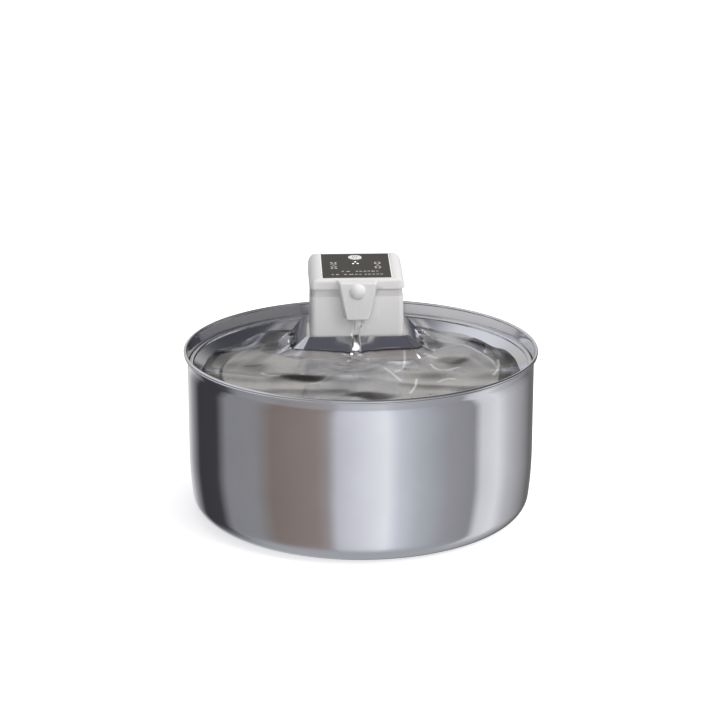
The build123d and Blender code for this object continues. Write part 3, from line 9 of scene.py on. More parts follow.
import bmesh
import bpy
import numpy as np
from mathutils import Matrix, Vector


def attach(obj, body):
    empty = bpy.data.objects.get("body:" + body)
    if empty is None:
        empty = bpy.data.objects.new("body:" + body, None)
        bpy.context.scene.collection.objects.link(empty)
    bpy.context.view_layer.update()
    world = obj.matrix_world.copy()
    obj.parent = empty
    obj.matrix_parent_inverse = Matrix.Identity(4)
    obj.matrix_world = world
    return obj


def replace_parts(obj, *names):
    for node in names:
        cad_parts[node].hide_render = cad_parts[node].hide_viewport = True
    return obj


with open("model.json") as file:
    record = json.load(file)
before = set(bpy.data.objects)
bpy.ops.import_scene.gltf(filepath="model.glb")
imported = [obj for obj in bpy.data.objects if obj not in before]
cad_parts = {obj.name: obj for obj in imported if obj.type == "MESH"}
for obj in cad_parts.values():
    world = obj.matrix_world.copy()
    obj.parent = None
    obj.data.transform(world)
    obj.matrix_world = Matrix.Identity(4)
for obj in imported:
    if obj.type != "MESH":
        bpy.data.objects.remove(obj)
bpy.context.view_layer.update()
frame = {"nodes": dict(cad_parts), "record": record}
SLOT_OF = {part["node"]: part["material_slot"] for part in frame["record"]["subparts"]}
MM = 0.001

# ---------------------------------------------------------------- sizes shared with the solids, mm
WALL_R = 110.0             # outside of the bowl's straight wall
SHEET = 0.7
FLARE_Z = 98.7
FLARE_SLOPE = 0.271
SWEEP_R = 260.0
SWEEP_Z = 42.0
FOOT_R = 12.5
FOOT_Z = 0.4
PANEL_R = 80.0
PANEL_RISE = 1.2
RING_R = 111.533           # middle of the rolled edge
ROLL_R = 0.95
ROLL_Z = 105.65
ROLL_ARC = (-53.2, 233.0)  # from the hem over the top to the inner wall, degrees
HEM_R = 0.75
HEM_Z = 104.4
HEM_ARC = (-106.0, 40.7)   # from the outer wall to the roll, degrees
OUTER_WALL_Z = 103.68      # where the outer wall meets the hem
INNER_WALL_Z = 104.89      # where the inner wall meets the roll

BEAD_RING_R = 107.5
BEAD_R = 1.5
BEAD_Z = 97.4
BEAD_ARC = (209.1, -119.3)  # from the basin's slope over the top to its underside, degrees
BEAD_FOOT = (106.19, 96.67)
BASIN_EDGE = (105.7, 96.4)
FLOOR_Z = 83.0
BEND_R = 5.0
WALL_RUN = 1.235           # outward run of the tray's slopes for each millimetre of height
TRAY_SHEET = 0.9

ISLAND_Z = 99.0
ISLAND_HALF = 33.4
ISLAND_FRONT = 48.0
ISLAND_CUT = 2.0
ISLAND_FOOT_CUT = 12.0
ISLAND_EDGE_R = 0.8
ISLAND_SHEET = 0.7
OPENING_HALF_X = 29.7
OPENING_HALF_Y = 24.15
UNIT_Y = 74.75
OVERFLOW_Y = (54.75, 66.75, 78.75)
OVERFLOW_HALF = 4.0
OVERFLOW_Z = (90.2, 92.2)

COVER_FRONT = 49.0
COVER_FRONT_TOP = 137.1
SLOPE = math.radians(6.2)
UNIT_FRONT = 49.5
BAND_Z = (125.0, 130.8)
LABEL_FRONT = 52.0
LABEL_SIDE = 46.3
KEY_FROM_FRONT = 38.3
LIGHT_R = 0.75
LIGHT_PLACES = ((0.0, 30.15), (-1.55, 27.05), (1.55, 27.05))
SPOUT_Y = 46.4
SPOUT_TIP_Z = 107.1

# ---------------------------------------------------------------- print on the label, mm
# Places are across the label and along it from its front edge.
BORDER_WIDTH = 0.5
MARK_X = 14.6              # middle of the left and the right pictogram
BLOCK_ROWS = (29.0, 26.6, 21.2, 18.6)
BLOCK_STEP = 1.3
BLOCK_SIZE = (1.8, 0.9)
DROP_ROW = 23.6
DROP_R = 0.8
DASH_WIDTH = 0.9
UPPER_ROW = 12.6
LOWER_ROW = 7.0
UPPER_DASHES = ((-9.0, 1.4), (-5.4, 2.2), (0.4, 1.6), (2.8, 1.8), (5.6, 2.0), (8.2, 1.6), (11.0, 2.4),
                (13.8, 1.2))
LOWER_DASHES = ((-15.8, 1.2), (-12.6, 2.0), (-7.4, 1.8), (-3.6, 2.8), (-0.2, 1.8), (2.4, 1.4), (6.0, 1.6),
                (8.4, 1.8), (11.2, 1.6), (13.8, 1.6), (16.4, 1.8))
KEY_RING = (1.35, 1.75)    # inner and outer radius of the mark on the key
KEY_BAR = (1.7, 0.42)

# ---------------------------------------------------------------- water, mm
WATER_Z = 92.3
WATER_OVERLAP = 0.3        # how far the water runs into the basin's wall
STREAM_X = -2.2
STREAM_Y = 34.0
STREAM_R = 1.9
SWELL_HIGH = 1.15
RIPPLE_HIGH = 0.16
RING_HIGH = 0.6
# WALL_LINE_R and WALL_LINE_WIDTH place a painted shade line in the water along the back wall.
WALL_LINE_R = 95.5         # dark line along the back wall
WALL_LINE_WIDTH = 3.0
# Painted shade in the water, dark spots: centre x, centre y, half size along x, along y, depth of tone.
PAINTED_DARK_SPOTS = ((-35.0, -21.0, 19.0, 9.0, 0.92), (2.0, -58.0, 18.0, 7.0, 0.75), (60.0, 13.5, 11.0, 8.0, 0.50),
           (-67.0, 8.5, 7.5, 3.2, 0.35), (-43.5, 21.5, 7.0, 3.2, 0.35), (4.0, 12.0, 20.0, 6.0, 0.22),
           (49.0, 55.0, 8.0, 22.0, 0.55), (-57.0, 62.0, 9.0, 24.0, 0.60))
# Painted glint lines on the water, each through a few points.
GLINTS = (
    ((-63, -5), (-60, -13), (-52, -19)),
    ((-33, -33), (-26, -30), (-20, -15)),
    ((15, -2), (20, -15), (24, -26)),
    ((30, 35), (29, 11), (26, -4), (21, -11)),
    ((43, 30), (46, 21), (50, 16)),
    ((45, 6), (48, -8), (54, -10), (60, -2), (63, 0)),
    ((47, -31), (53, -27), (58, -29)),
    ((34, -24), (32, -40), (28, -54)),
    ((89, 12), (88, -5), (83, -20)),
)
GLINT_WIDTH = 0.7
# PATCH is a painted highlight on the water.
PATCH = (-8.0, -21.0, 7.0, 8.0)  # light patch: centre x, centre y, half size along x, along y
# Painted shade line in the water round the island's foot.
FOOT_LINE = ((-43, 62), (-43, 46), (-37, 36.6), (37, 36.6), (43, 46), (43, 62))
FOOT_WIDTH = (1.0, 2.6)

# ---------------------------------------------------------------- meshes and finishes
# Heights of the lines across the island's flanks, mm; a slot lies between two of them.
FLANK_LEVELS = (97.6, 96.4, 94.2, OVERFLOW_Z[1], OVERFLOW_Z[0], 88.6, 87.0, 85.0, 83.6, FLOOR_Z - 0.5)
FLANK_OVERLAP = 0.4        # how far the flanks run into the basin's wall, mm
NODE_SHARP = 32.0          # smoothed nodes keep edges above this sharp, degrees
MERGE = 2e-6               # points closer than this become one, metres
DULL = 0.32                # extra roughness of the island's cut corners


# ---------------------------------------------------------------- shader sums
class Flow:
    """A value that runs between shader nodes; sums written with it add Math nodes."""

    def __init__(self, finish, socket):
        self.finish = finish
        self.socket = socket

    def _sum(self, operation, *values):
        return self.finish.add("ShaderNodeMath", {"operation": operation}, *values)

    def __add__(self, other):
        return self._sum("ADD", self, other)

    def __radd__(self, other):
        return self._sum("ADD", other, self)

    def __sub__(self, other):
        return self._sum("SUBTRACT", self, other)

    def __rsub__(self, other):
        return self._sum("SUBTRACT", other, self)

    def __mul__(self, other):
        return self._sum("MULTIPLY", self, other)

    def __rmul__(self, other):
        return self._sum("MULTIPLY", other, self)

    def __truediv__(self, other):
        return self._sum("DIVIDE", self, other)

    def between(self, low, high):
        """Smooth step from 0 at low to 1 at high."""
        return self.finish.add("ShaderNodeMapRange", {"interpolation_type": "SMOOTHSTEP"},
                               self, low, high, 0.0, 1.0)


class Finish:
    """A node tree that is filled one node at a time."""

    def __init__(self, tree):
        self.tree = tree
        tree.nodes.clear()

    def add(self, kind, settings=None, *values, out=0, stops=None, at=None, **named):
        """Add a node: its settings first, then its ramp's stops, then its sockets' values or links."""
        node = self.tree.nodes.new(kind)
        for key, setting in (settings or {}).items():
            setattr(node, key, setting)
        if stops:
            ramp = node.color_ramp
            while len(ramp.elements) < len(stops):
                ramp.elements.new(0.5)
            for element, (place, colour) in zip(ramp.elements, stops):
                element.position = place
                element.color = (*colour, 1.0)
        pairs = list(enumerate(values)) + list((at or {}).items())
        pairs += [(key.replace("_", " "), value) for key, value in named.items()]
        for key, value in pairs:
            socket = node.inputs[key]
            if isinstance(value, Flow):
                self.tree.links.new(value.socket, socket)
            elif isinstance(value, tuple) and socket.type == "RGBA" and len(value) == 3:
                socket.default_value = (*value, 1.0)
            else:
                socket.default_value = value
        return Flow(self, node.outputs[out] if node.outputs else None)

    def blend(self, share, first, second):
        """Colour mix from first to second."""
        return self.add("ShaderNodeMix", {"data_type": "RGBA"}, out=2, at={0: share, 6: first, 7: second})

    def place(self, axis=None):
        """Object coordinates in metres, or the one with the axis's number."""
        spot = self.add("ShaderNodeTexCoord", out="Object")
        return spot if axis is None else self.add("ShaderNodeSeparateXYZ", None, spot, out=axis)

    def ray(self, kind):
        """1 for rays of a kind, else 0."""
        return self.add("ShaderNodeLightPath", out=f"Is {kind} Ray")

    def painted(self, name):
        """Share that paint stored on the piece; 0 where it stored none."""
        return self.add("ShaderNodeAttribute", {"attribute_name": name}, out="Fac")

    def grain(self, scale, stretch=(1.0, 1.0, 1.0), detail=3.0):
        """Noise between 0 and 1, at scale cells per metre, stretched along the axes."""
        spot = self.add("ShaderNodeMapping", None, self.place(), Scale=stretch)
        return self.add("ShaderNodeTexNoise", None, Vector=spot, Scale=scale, Detail=detail, Roughness=0.55)

    def bumps(self, height, strength, distance):
        """Normal from a height."""
        return self.add("ShaderNodeBump", None, Height=height, Strength=strength, Distance=distance)


def material(name):
    """New material with an empty tree."""
    made = bpy.data.materials.new(name)
    made.use_nodes = True
    return made, Finish(made.node_tree)


def surface_of(finish, **sockets):
    """Principled shader joined to the material's output."""
    finish.add("ShaderNodeOutputMaterial", None, finish.add("ShaderNodeBsdfPrincipled", None, **sockets))


def open_to_shadows(finish, shader, colour):
    """Join a shader to the output; rays for shadows pass straight on, tinted with colour."""
    open_way = finish.add("ShaderNodeBsdfTransparent", None, Color=colour)
    mixed = finish.add("ShaderNodeMixShader", None, finish.ray("Shadow"), shader, open_way)
    finish.add("ShaderNodeOutputMaterial", None, mixed)


def scaled(colour, share):
    """Colour made darker or lighter."""
    return tuple(part * share for part in colour)


# ---------------------------------------------------------------- finishes
def satin_steel(name, colour, rough, streak_bump, wave, pool=0.0):
    """Rolled steel polished round the piece: fine level streaks, faint smudges and slow waves.

    pool is how much rougher the steel is below the basin's bend than above it. Where a piece's dull is 1,
    its steel is drawn hard and rougher by DULL.
    """
    made, f = material(name)
    low = 1.0 - f.place(2).between(FLOOR_Z * MM, (FLOOR_Z + BEND_R) * MM)
    streak = f.grain(900.0, (0.12, 0.12, 1.6), 2.0)
    smudge = f.grain(38.0, detail=4.0)
    slow = f.grain(16.0, (1.0, 1.0, 0.35), 1.0)
    worn = (smudge - 0.5) * 0.06 + (streak - 0.5) * 0.05
    tint = f.blend(smudge.between(0.3, 0.75), scaled(colour, 0.955), colour)
    surface_of(f, Base_Color=tint, Metallic=1.0,
               Roughness=rough + f.painted("dull") * DULL + pool * low + worn,
               Normal=f.bumps(streak * streak_bump + slow * wave, 1.0, 0.001))
    return made


def plated(name, colour, rough):
    """Small plated metal with slight stains."""
    made, f = material(name)
    stain = f.grain(420.0)
    surface_of(f, Base_Color=f.blend(stain, scaled(colour, 0.86), colour), Metallic=1.0,
               Roughness=rough + (stain - 0.5) * 0.12)
    return made


def groove(f):
    """Share of the set-back band under the cover, from 0 to 1, where shade is painted."""
    y, z = f.place(1), f.place(2)
    low, high = BAND_Z
    above = z.between(low * MM, (low + 0.6) * MM)
    below = 1.0 - z.between((high - 0.3) * MM, high * MM)
    return above * below * y.between((UNIT_FRONT - 1.5) * MM, UNIT_FRONT * MM)


def moulded(name, colour, rough, grain_height=0.035, painted_band_shade=0.0):
    """Moulded plastic: a fine spark-eroded grain and a faint cloudiness, with painted shade darkening the
    set-back band under the cover when its share is given.
    """
    made, f = material(name)
    pebble = f.grain(2600.0, detail=2.0)
    cloud = f.grain(45.0, detail=2.0)
    tint = f.blend(cloud, scaled(colour, 0.97), colour)
    # Painted shade: the set-back band under the cover is drawn darker, standing in for the cover's shadow.
    if painted_band_shade:
        tint = f.blend(groove(f) * painted_band_shade, tint, scaled(colour, 0.5))
    surface_of(f, Base_Color=tint, Roughness=rough + (cloud - 0.5) * 0.05 + (pebble - 0.5) * 0.04,
               Normal=f.bumps(pebble, grain_height, 0.0006))
    return made


def rubbery(name, colour, rough=0.72):
    """Silicone or rubber with a dusty bloom."""
    made, f = material(name)
    dust = f.grain(1500.0, detail=4.0)
    bloom = f.grain(130.0)
    pale = tuple(min(1.0, part * 1.1 + 0.02) for part in colour)
    surface_of(f, Base_Color=f.blend(bloom.between(0.35, 0.8), colour, pale),
               Roughness=rough + (bloom - 0.5) * 0.12, Normal=f.bumps(dust, 0.05, 0.0005))
    return made


def see_through(name, colour, rough, index, haze, clear=1.0):
    """Clear plastic or silicone with a cloudy haze; clear is the share of light that passes."""
    made, f = material(name)
    cloud = f.grain(260.0, detail=2.0)
    shader = f.add("ShaderNodeBsdfPrincipled", None, Base_Color=colour, Roughness=rough + cloud * haze,
                   IOR=index, Transmission_Weight=clear)
    open_to_shadows(f, shader, colour)
    return made


def printed_board(name):
    """Green solder mask with a copper weave under it."""
    made, f = material(name)
    trace = f.grain(700.0, (1.0, 0.2, 1.0), 1.0).between(0.48, 0.54)
    surface_of(f, Base_Color=f.blend(trace, (0.02, 0.13, 0.055), (0.04, 0.24, 0.11)),
               Roughness=0.35 + trace * 0.1, Normal=f.bumps(trace, 0.15, 0.0002))
    return made


def open_foam(name):
    """Open-cell foam: dark cells in a lighter web."""
    made, f = material(name)
    cell = f.add("ShaderNodeTexVoronoi", {"feature": "DISTANCE_TO_EDGE"}, Vector=f.place(), Scale=900.0)
    web = cell.between(0.0, 0.3)
    surface_of(f, Base_Color=f.blend(web, (0.26, 0.28, 0.31), (0.05, 0.055, 0.06)),
               Roughness=0.9 - web * 0.05, Normal=f.bumps(web, 0.6, 0.0006))
    return made


def felted(name, colour):
    """Non-woven cloth: short crossing fibres."""
    made, f = material(name)
    fibre = f.grain(1400.0, (1.0, 0.15, 1.0), 4.0) + f.grain(1400.0, (0.15, 1.0, 1.0), 4.0)
    surface_of(f, Base_Color=f.blend(fibre * 0.5, scaled(colour, 0.82), colour), Roughness=0.92,
               Normal=f.bumps(fibre, 0.35, 0.0005))
    return made


def laminated(name, colour):
    """Stack of thin iron sheets: level lines."""
    made, f = material(name)
    layer = f.add("ShaderNodeTexWave", {"bands_direction": "Z"}, Vector=f.place(), Scale=320.0,
                  Distortion=0.4)
    surface_of(f, Base_Color=f.blend(layer, scaled(colour, 0.7), colour), Metallic=0.8,
               Roughness=0.5 + layer * 0.1, Normal=f.bumps(layer, 0.3, 0.0003))
    return made


def wound(name, colour):
    """Enamelled wire side by side."""
    made, f = material(name)
    turn = f.add("ShaderNodeTexWave", {"bands_direction": "DIAGONAL"}, Vector=f.place(), Scale=420.0,
                 Distortion=0.8)
    surface_of(f, Base_Color=f.blend(turn, scaled(colour, 0.5), colour), Metallic=0.9,
               Roughness=0.32 + turn * 0.1, Normal=f.bumps(turn, 0.5, 0.0004))
    return made


def overlay(name, colour):
    """Dark printed overlay under a fine satin varnish."""
    made, f = material(name)
    speck = f.grain(5200.0, detail=2.0)
    wear = f.grain(80.0)
    surface_of(f, Base_Color=f.blend(speck, scaled(colour, 0.8), scaled(colour, 1.25)),
               Roughness=0.36 + (wear - 0.5) * 0.08, Normal=f.bumps(speck, 0.05, 0.0002))
    return made


def clear_water(name):
    """Water with small ripples, with painted shade where its shade is 1 and a painted glint where its glint
    is 1.

    Both show only at a low angle.
    """
    made, f = material(name)
    low = f.add("ShaderNodeLayerWeight", None, out="Facing", Blend=0.5).between(0.35, 0.65)
    # Painted glints: the water gives off light where its glint share is 1.
    glow = f.blend(f.painted("glint") * low, (0.0, 0.0, 0.0), (0.98, 0.99, 1.0))
    clear = f.add("ShaderNodeBsdfPrincipled", None, Base_Color=(0.94, 0.93, 0.92), Roughness=0.0, IOR=1.333,
                  Transmission_Weight=1.0, Normal=f.bumps(f.grain(34.0, detail=0.5), 0.10, 0.004),
                  Emission_Color=glow, Emission_Strength=0.27)
    # Near-black diffuse that the painted shade mixes in, standing in for dark reflections.
    dark = f.add("ShaderNodeBsdfDiffuse", None, Color=(0.012, 0.010, 0.008))
    mixed = f.add("ShaderNodeMixShader", None, f.painted("shade") * low, clear, dark)
    open_to_shadows(f, mixed, (1.0, 1.0, 1.0))
    return made


def glowing(name, colour, power):
    """Face that gives off light of its own, a little unevenly."""
    made, f = material(name)
    uneven = f.grain(900.0, detail=1.0)
    surface_of(f, Base_Color=colour, Emission_Color=f.blend(uneven, scaled(colour, 0.8), colour),
               Emission_Strength=power, Roughness=0.3 + uneven * 0.1)
    return made


FINISHES = {
    "bowl_steel": satin_steel("bowl_steel", (0.80, 0.805, 0.83), 0.085, 0.003, 0.08),
    "tray_steel": satin_steel("tray_steel", (0.78, 0.785, 0.81), 0.13, 0.001, 0.03, 0.06),
    # The white shell takes painted shade on the band under the cover.
    "white_shell": moulded("white_shell", (0.80, 0.79, 0.78), 0.40, painted_band_shade=0.34),
    "dark_panel": overlay("dark_panel", (0.032, 0.028, 0.022)),
    "key_white": moulded("key_white", (0.86, 0.86, 0.85), 0.25),
    "lens_white": moulded("lens_white", (0.84, 0.83, 0.82), 0.34, grain_height=0.01),
    "clear_plastic": see_through("clear_plastic", (0.93, 0.94, 0.95), 0.28, 1.46, 0.05, 0.55),
    "clear_silicone": see_through("clear_silicone", (0.86, 0.87, 0.88), 0.22, 1.41, 0.1),
    "white_silicone": rubbery("white_silicone", (0.80, 0.80, 0.79), 0.62),
    "grey_silicone": rubbery("grey_silicone", (0.42, 0.43, 0.44)),
    "small_steel": plated("small_steel", (0.65, 0.65, 0.66), 0.28),
    "circuit_board": printed_board("circuit_board"),
    "grey_plastic": moulded("grey_plastic", (0.55, 0.56, 0.58), 0.5),
    "dark_plastic": moulded("dark_plastic", (0.06, 0.06, 0.065), 0.5),
    "drawer_plastic": moulded("drawer_plastic", (0.70, 0.73, 0.76), 0.42),
    "impeller_plastic": moulded("impeller_plastic", (0.30, 0.42, 0.60), 0.38),
    "shaft_ceramic": moulded("shaft_ceramic", (0.85, 0.84, 0.80), 0.2, grain_height=0.01),
    "core_iron": laminated("core_iron", (0.28, 0.28, 0.29)),
    "magnet_dark": plated("magnet_dark", (0.10, 0.10, 0.11), 0.42),
    "copper": wound("copper", (0.72, 0.36, 0.18)),
    "cell_wrap": moulded("cell_wrap", (0.14, 0.36, 0.45), 0.3),
    "lead_rubber": rubbery("lead_rubber", (0.12, 0.12, 0.13), 0.5),
    "foam": open_foam("foam"),
    "filter_fabric": felted("filter_fabric", (0.88, 0.89, 0.88)),
    "water": clear_water("water"),
    "light_glow": glowing("light_glow", (0.95, 0.96, 0.97), 0.8),
    "print_white": moulded("print_white", (0.74, 0.74, 0.72), 0.5, grain_height=0.02),
    # The label's border is white print made brighter by a faint painted glow.
    "border_painted_glow": glowing("border_painted_glow", (0.96, 0.96, 0.96), 0.25),
    "print_grey": moulded("print_grey", (0.13, 0.13, 0.13), 0.5, grain_height=0.02),
}

for node_name, node_object in frame["nodes"].items():
    node_object.data.materials.clear()
    node_object.data.materials.append(FINISHES[SLOT_OF[node_name]])


# ---------------------------------------------------------------- surfaces
def grid_faces(rows, columns, wrap_rows=False, wrap_columns=False):
    """Corner numbers of every square of a grid, as an (n, 4) array."""
    i = np.arange(rows if wrap_rows else rows - 1)
    j = np.arange(columns if wrap_columns else columns - 1)
    i, j = np.meshgrid(i, j, indexing="ij")
    i1, j1 = (i + 1) % rows, (j + 1) % columns
    corners = [i * columns + j, i1 * columns + j, i1 * columns + j1, i * columns + j1]
    return np.stack(corners, axis=-1).reshape(-1, 4)


def in_scene(name, data):
    """New object for a mesh, lamp or camera."""
    made = bpy.data.objects.new(name, data)
    bpy.context.collection.objects.link(made)
    return made


def smooth(mesh, sharp):
    """Join a mesh's doubles, drop its loose points and shade it smooth but for edges over sharp degrees."""
    form = bmesh.new()
    form.from_mesh(mesh)
    bmesh.ops.remove_doubles(form, verts=form.verts, dist=MERGE)
    loose = [vert for vert in form.verts if not vert.link_faces]
    bmesh.ops.delete(form, geom=loose, context="VERTS")
    form.to_mesh(mesh)
    form.free()
    mesh.shade_smooth()
    mesh.set_sharp_from_angle(angle=math.radians(sharp))


def piece(name, points, faces, finish, body, flip=False, sharp=35.0):
    """Smooth mesh from grid points in mm, which rides on its body; flip turns its faces round."""
    mesh = bpy.data.meshes.new(name)
    faces = faces[:, ::-1] if flip else faces
    mesh.from_pydata(np.asarray(points, float).reshape(-1, 3) * MM, [], faces.tolist())
    smooth(mesh, sharp)
    made = in_scene(name, mesh)
    made.data.materials.append(FINISHES[finish])
    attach(made, body)
    return made


def rounded_copy(node, body):
    """A node's own solid with its triangles joined, so that its curved faces shade smoothly."""
    mesh = frame["nodes"][node].data.copy()
    smooth(mesh, NODE_SHARP)
    made = in_scene(node + "_smooth", mesh)
    made.modifiers.new("even", "WEIGHTED_NORMAL").keep_sharp = True
    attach(made, body)
    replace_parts(made, node)
    return made


def arc(centre, radius, start, end, count):
    """Points of an arc in the (radius, height) plane, angles in degrees."""
    turn = np.radians(np.linspace(start, end, count))
    return np.stack([centre[0] + radius * np.cos(turn), centre[1] + radius * np.sin(turn)], axis=1)


def line(start, end, count):
    """Evenly spaced points of a straight run, ends included."""
    return np.linspace(start, end, count)


def spin(profile, count):
    """Grid (count, n, 3): the profile of (radius, height) turned about the Z axis."""
    turn = np.linspace(0.0, 2 * np.pi, count, endpoint=False)[:, None]
    r, z = profile[None, :, 0], profile[None, :, 1]
    return np.stack([r * np.cos(turn), r * np.sin(turn), z + 0 * turn], axis=-1)


# ---------------------------------------------------------------- bowl
def bowl_wall(inset, rise):
    """Half section of the bowl moved inwards: panel, step, foot corner, slow sweep, wall, flare to rise."""
    sweep_x = WALL_R - SWEEP_R
    foot_z = FOOT_Z + FOOT_R
    foot_x = sweep_x + math.sqrt((SWEEP_R - FOOT_R) ** 2 - (SWEEP_Z - foot_z) ** 2)
    meet = math.degrees(math.atan2(foot_z - SWEEP_Z, foot_x - sweep_x))
    low = FOOT_Z + inset
    return np.concatenate([
        line((0.0, low + PANEL_RISE), (PANEL_R, low + PANEL_RISE), 12),
        line((PANEL_R + PANEL_RISE, low), (foot_x, low), 5)[:-1],
        arc((foot_x, foot_z), FOOT_R - inset, -90, meet, 16),
        arc((sweep_x, SWEEP_Z), SWEEP_R - inset, meet, 0, 14)[1:],
        line((WALL_R - inset, SWEEP_Z), (WALL_R - inset, FLARE_Z), 14)[1:],
        line((WALL_R - inset, FLARE_Z), (WALL_R - inset + (rise - FLARE_Z) * FLARE_SLOPE, rise), 5)[1:],
    ])


def steel_bowl():
    """The bowl turned from one closed section: outside, hem, roll, inside."""
    outside = bowl_wall(0.0, OUTER_WALL_Z)
    hem = arc((RING_R, HEM_Z), HEM_R, *HEM_ARC, 12)
    roll = arc((RING_R, ROLL_Z), ROLL_R, *ROLL_ARC, 22)
    inside = bowl_wall(SHEET, INNER_WALL_Z)[::-1]
    section = np.concatenate([outside, hem, roll, inside])
    count = 288
    faces = grid_faces(count, len(section), wrap_rows=True)
    made = piece("bowl_shell", spin(section, count), faces, "bowl_steel", "bowl")
    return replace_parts(made, "reservoir_bowl")


# ---------------------------------------------------------------- tray
def basin_radius(z):
    """Radius of the basin's slope at a height."""
    return BASIN_EDGE[0] - (BASIN_EDGE[1] - z) * WALL_RUN


def island_limit(z):
    """Radius at which the island's flanks run into the basin wall."""
    wall = np.minimum(basin_radius(z) + FLANK_OVERLAP, BEAD_RING_R)
    return np.where(z < BASIN_EDGE[1], wall, BEAD_RING_R)


def inside_island(x, y, margin):
    """True where a point lies under the island, margin inside its upper outline."""
    return (np.abs(x) < ISLAND_HALF - margin) & (y > ISLAND_FRONT + margin)


def steel_basin():
    """Basin turned from a closed section: floor, bend, wall, bead and underside, open under the island."""
    lean = math.degrees(math.atan2(1.0, WALL_RUN))
    reach = BEND_R * math.tan(math.radians(lean / 2))
    centre = (basin_radius(FLOOR_Z) - reach, FLOOR_Z + BEND_R)
    floor = line((0.0, FLOOR_Z), (centre[0], FLOOR_Z), 60)
    bend = arc(centre, BEND_R, -90, -90 + lean, 8)[1:]
    wall = line(bend[-1], BEAD_FOOT, 16)[1:-1]
    bead = arc((BEAD_RING_R, BEAD_Z), BEAD_R, *BEAD_ARC, 24)
    upper = np.concatenate([floor, bend, wall])
    under = (upper - (0.0, TRAY_SHEET))[::-1]
    section = np.concatenate([upper, bead, under])
    count = 360
    points = spin(section, count)
    faces = grid_faces(count, len(section), wrap_rows=True)
    centres = points.reshape(-1, 3)[faces].mean(axis=1)
    hidden = inside_island(centres[:, 0], centres[:, 1], 0.5) & (centres[:, 2] < BEAD_Z - BEAD_R)
    return piece("tray_basin", points, faces[~hidden], "tray_steel", "tray", flip=True)


def cut_rate():
    """Growth of a front corner's cut for each millimetre outwards."""
    return (ISLAND_FOOT_CUT - ISLAND_CUT) / ((ISLAND_Z - FLOOR_Z + TRAY_SHEET) * WALL_RUN)


def island_path(out):
    """Plan of the island's edge moved outwards by out: back left, front, back right, as (m, 2).

    The front corners are cut; a cut grows from its upper to its lower size as the edge moves out.
    """
    cut = ISLAND_CUT + cut_rate() * out
    half, front = ISLAND_HALF + out, ISLAND_FRONT - out
    edges = sorted(y + side * OVERFLOW_HALF for y in OVERFLOW_Y for side in (-1, 1))
    stops = [front + cut] + edges + [BEAD_RING_R + 4.0]
    flank = np.concatenate([np.linspace(a, b, 7)[:-1] for a, b in zip(stops, stops[1:])] + [stops[-1:]])
    side = np.stack([np.full_like(flank, -half), flank], axis=1)[::-1]
    facet = line((-half, front + cut), (-half + cut, front), 5)[1:-1]
    face = line((-half + cut, front), (half - cut, front), 40)
    mirror = np.array([-1.0, 1.0])
    return np.concatenate([side, facet, face, (facet * mirror)[::-1], (side * mirror)[::-1]])


def island_flank():
    """Island's rim and flanks: the plan path carried outwards and down a rounded, then straight, slope."""
    lean = math.atan2(1.0, WALL_RUN)
    tangent = ISLAND_EDGE_R * math.tan(lean / 2)
    turn = np.linspace(0.0, lean, 6)
    levels = np.array(FLANK_LEVELS)
    out = np.concatenate([ISLAND_EDGE_R * np.sin(turn) - tangent, (ISLAND_Z - levels) * WALL_RUN])
    high = np.concatenate([ISLAND_Z - ISLAND_EDGE_R * (1 - np.cos(turn)), levels])
    plans = np.stack([island_path(step) for step in out])
    x, y = plans[..., 0], plans[..., 1]
    z = np.repeat(high[:, None], plans.shape[1], axis=1)
    limit = island_limit(z)
    y = np.minimum(y, np.sqrt(np.maximum(limit ** 2 - x ** 2, 1.0)))
    points = np.stack([x, y, z], axis=-1)
    faces = grid_faces(*x.shape)
    middle = points.reshape(-1, 3)[faces].mean(axis=1)
    side, level = np.abs(middle[:, 0]), middle[:, 2]
    slot = (side > ISLAND_HALF) & (level > OVERFLOW_Z[0]) & (level < OVERFLOW_Z[1])
    slot &= np.min(np.abs(middle[:, 1, None] - np.array(OVERFLOW_Y)), axis=1) < OVERFLOW_HALF
    return points, faces[~slot]


def opening_path(count):
    """The island's opening as (count, 2): a superellipse of so high a power that only its corners bend."""
    turn = np.linspace(0.0, 2 * np.pi, count, endpoint=False) + 1e-3
    power = 40.0
    across, along = np.abs(np.cos(turn) / OPENING_HALF_X), np.abs(np.sin(turn) / OPENING_HALF_Y)
    ray = (across ** power + along ** power) ** (-1 / power)
    return np.stack([ray * np.cos(turn), UNIT_Y + ray * np.sin(turn)], axis=1)


def island_top():
    """Flat top between the opening and the rim's inner line, on rays from the opening's centre."""
    count = 320
    inner = opening_path(count)
    ray = inner - (0.0, UNIT_Y)
    ray /= np.linalg.norm(ray, axis=1)[:, None]
    inset = ISLAND_EDGE_R * math.tan(math.atan2(1.0, WALL_RUN) / 2)
    half_x, front = ISLAND_HALF - inset, UNIT_Y - ISLAND_FRONT - inset
    cut = ISLAND_CUT - cut_rate() * inset
    reach = np.minimum(half_x / np.maximum(np.abs(ray[:, 0]), 1e-9),
                       np.where(ray[:, 1] < 0, front / np.maximum(-ray[:, 1], 1e-9), 1e9))
    corner = (half_x + front - cut) / np.maximum(np.abs(ray[:, 0]) - ray[:, 1], 1e-9)
    reach = np.minimum(reach, np.where(ray[:, 1] < 0, corner, 1e9))
    along = UNIT_Y * ray[:, 1]
    ring = -along + np.sqrt(along ** 2 + BEAD_RING_R ** 2 - UNIT_Y ** 2)
    outer = np.array([0.0, UNIT_Y]) + ray * np.minimum(reach, ring)[:, None]
    share = np.linspace(0.0, 1.0, 5)[:, None, None]
    plan = inner[None] * (1 - share) + outer[None] * share
    z = np.full(plan.shape[:2] + (1,), ISLAND_Z)
    return np.concatenate([plan, z], axis=-1), grid_faces(5, count, wrap_columns=True)


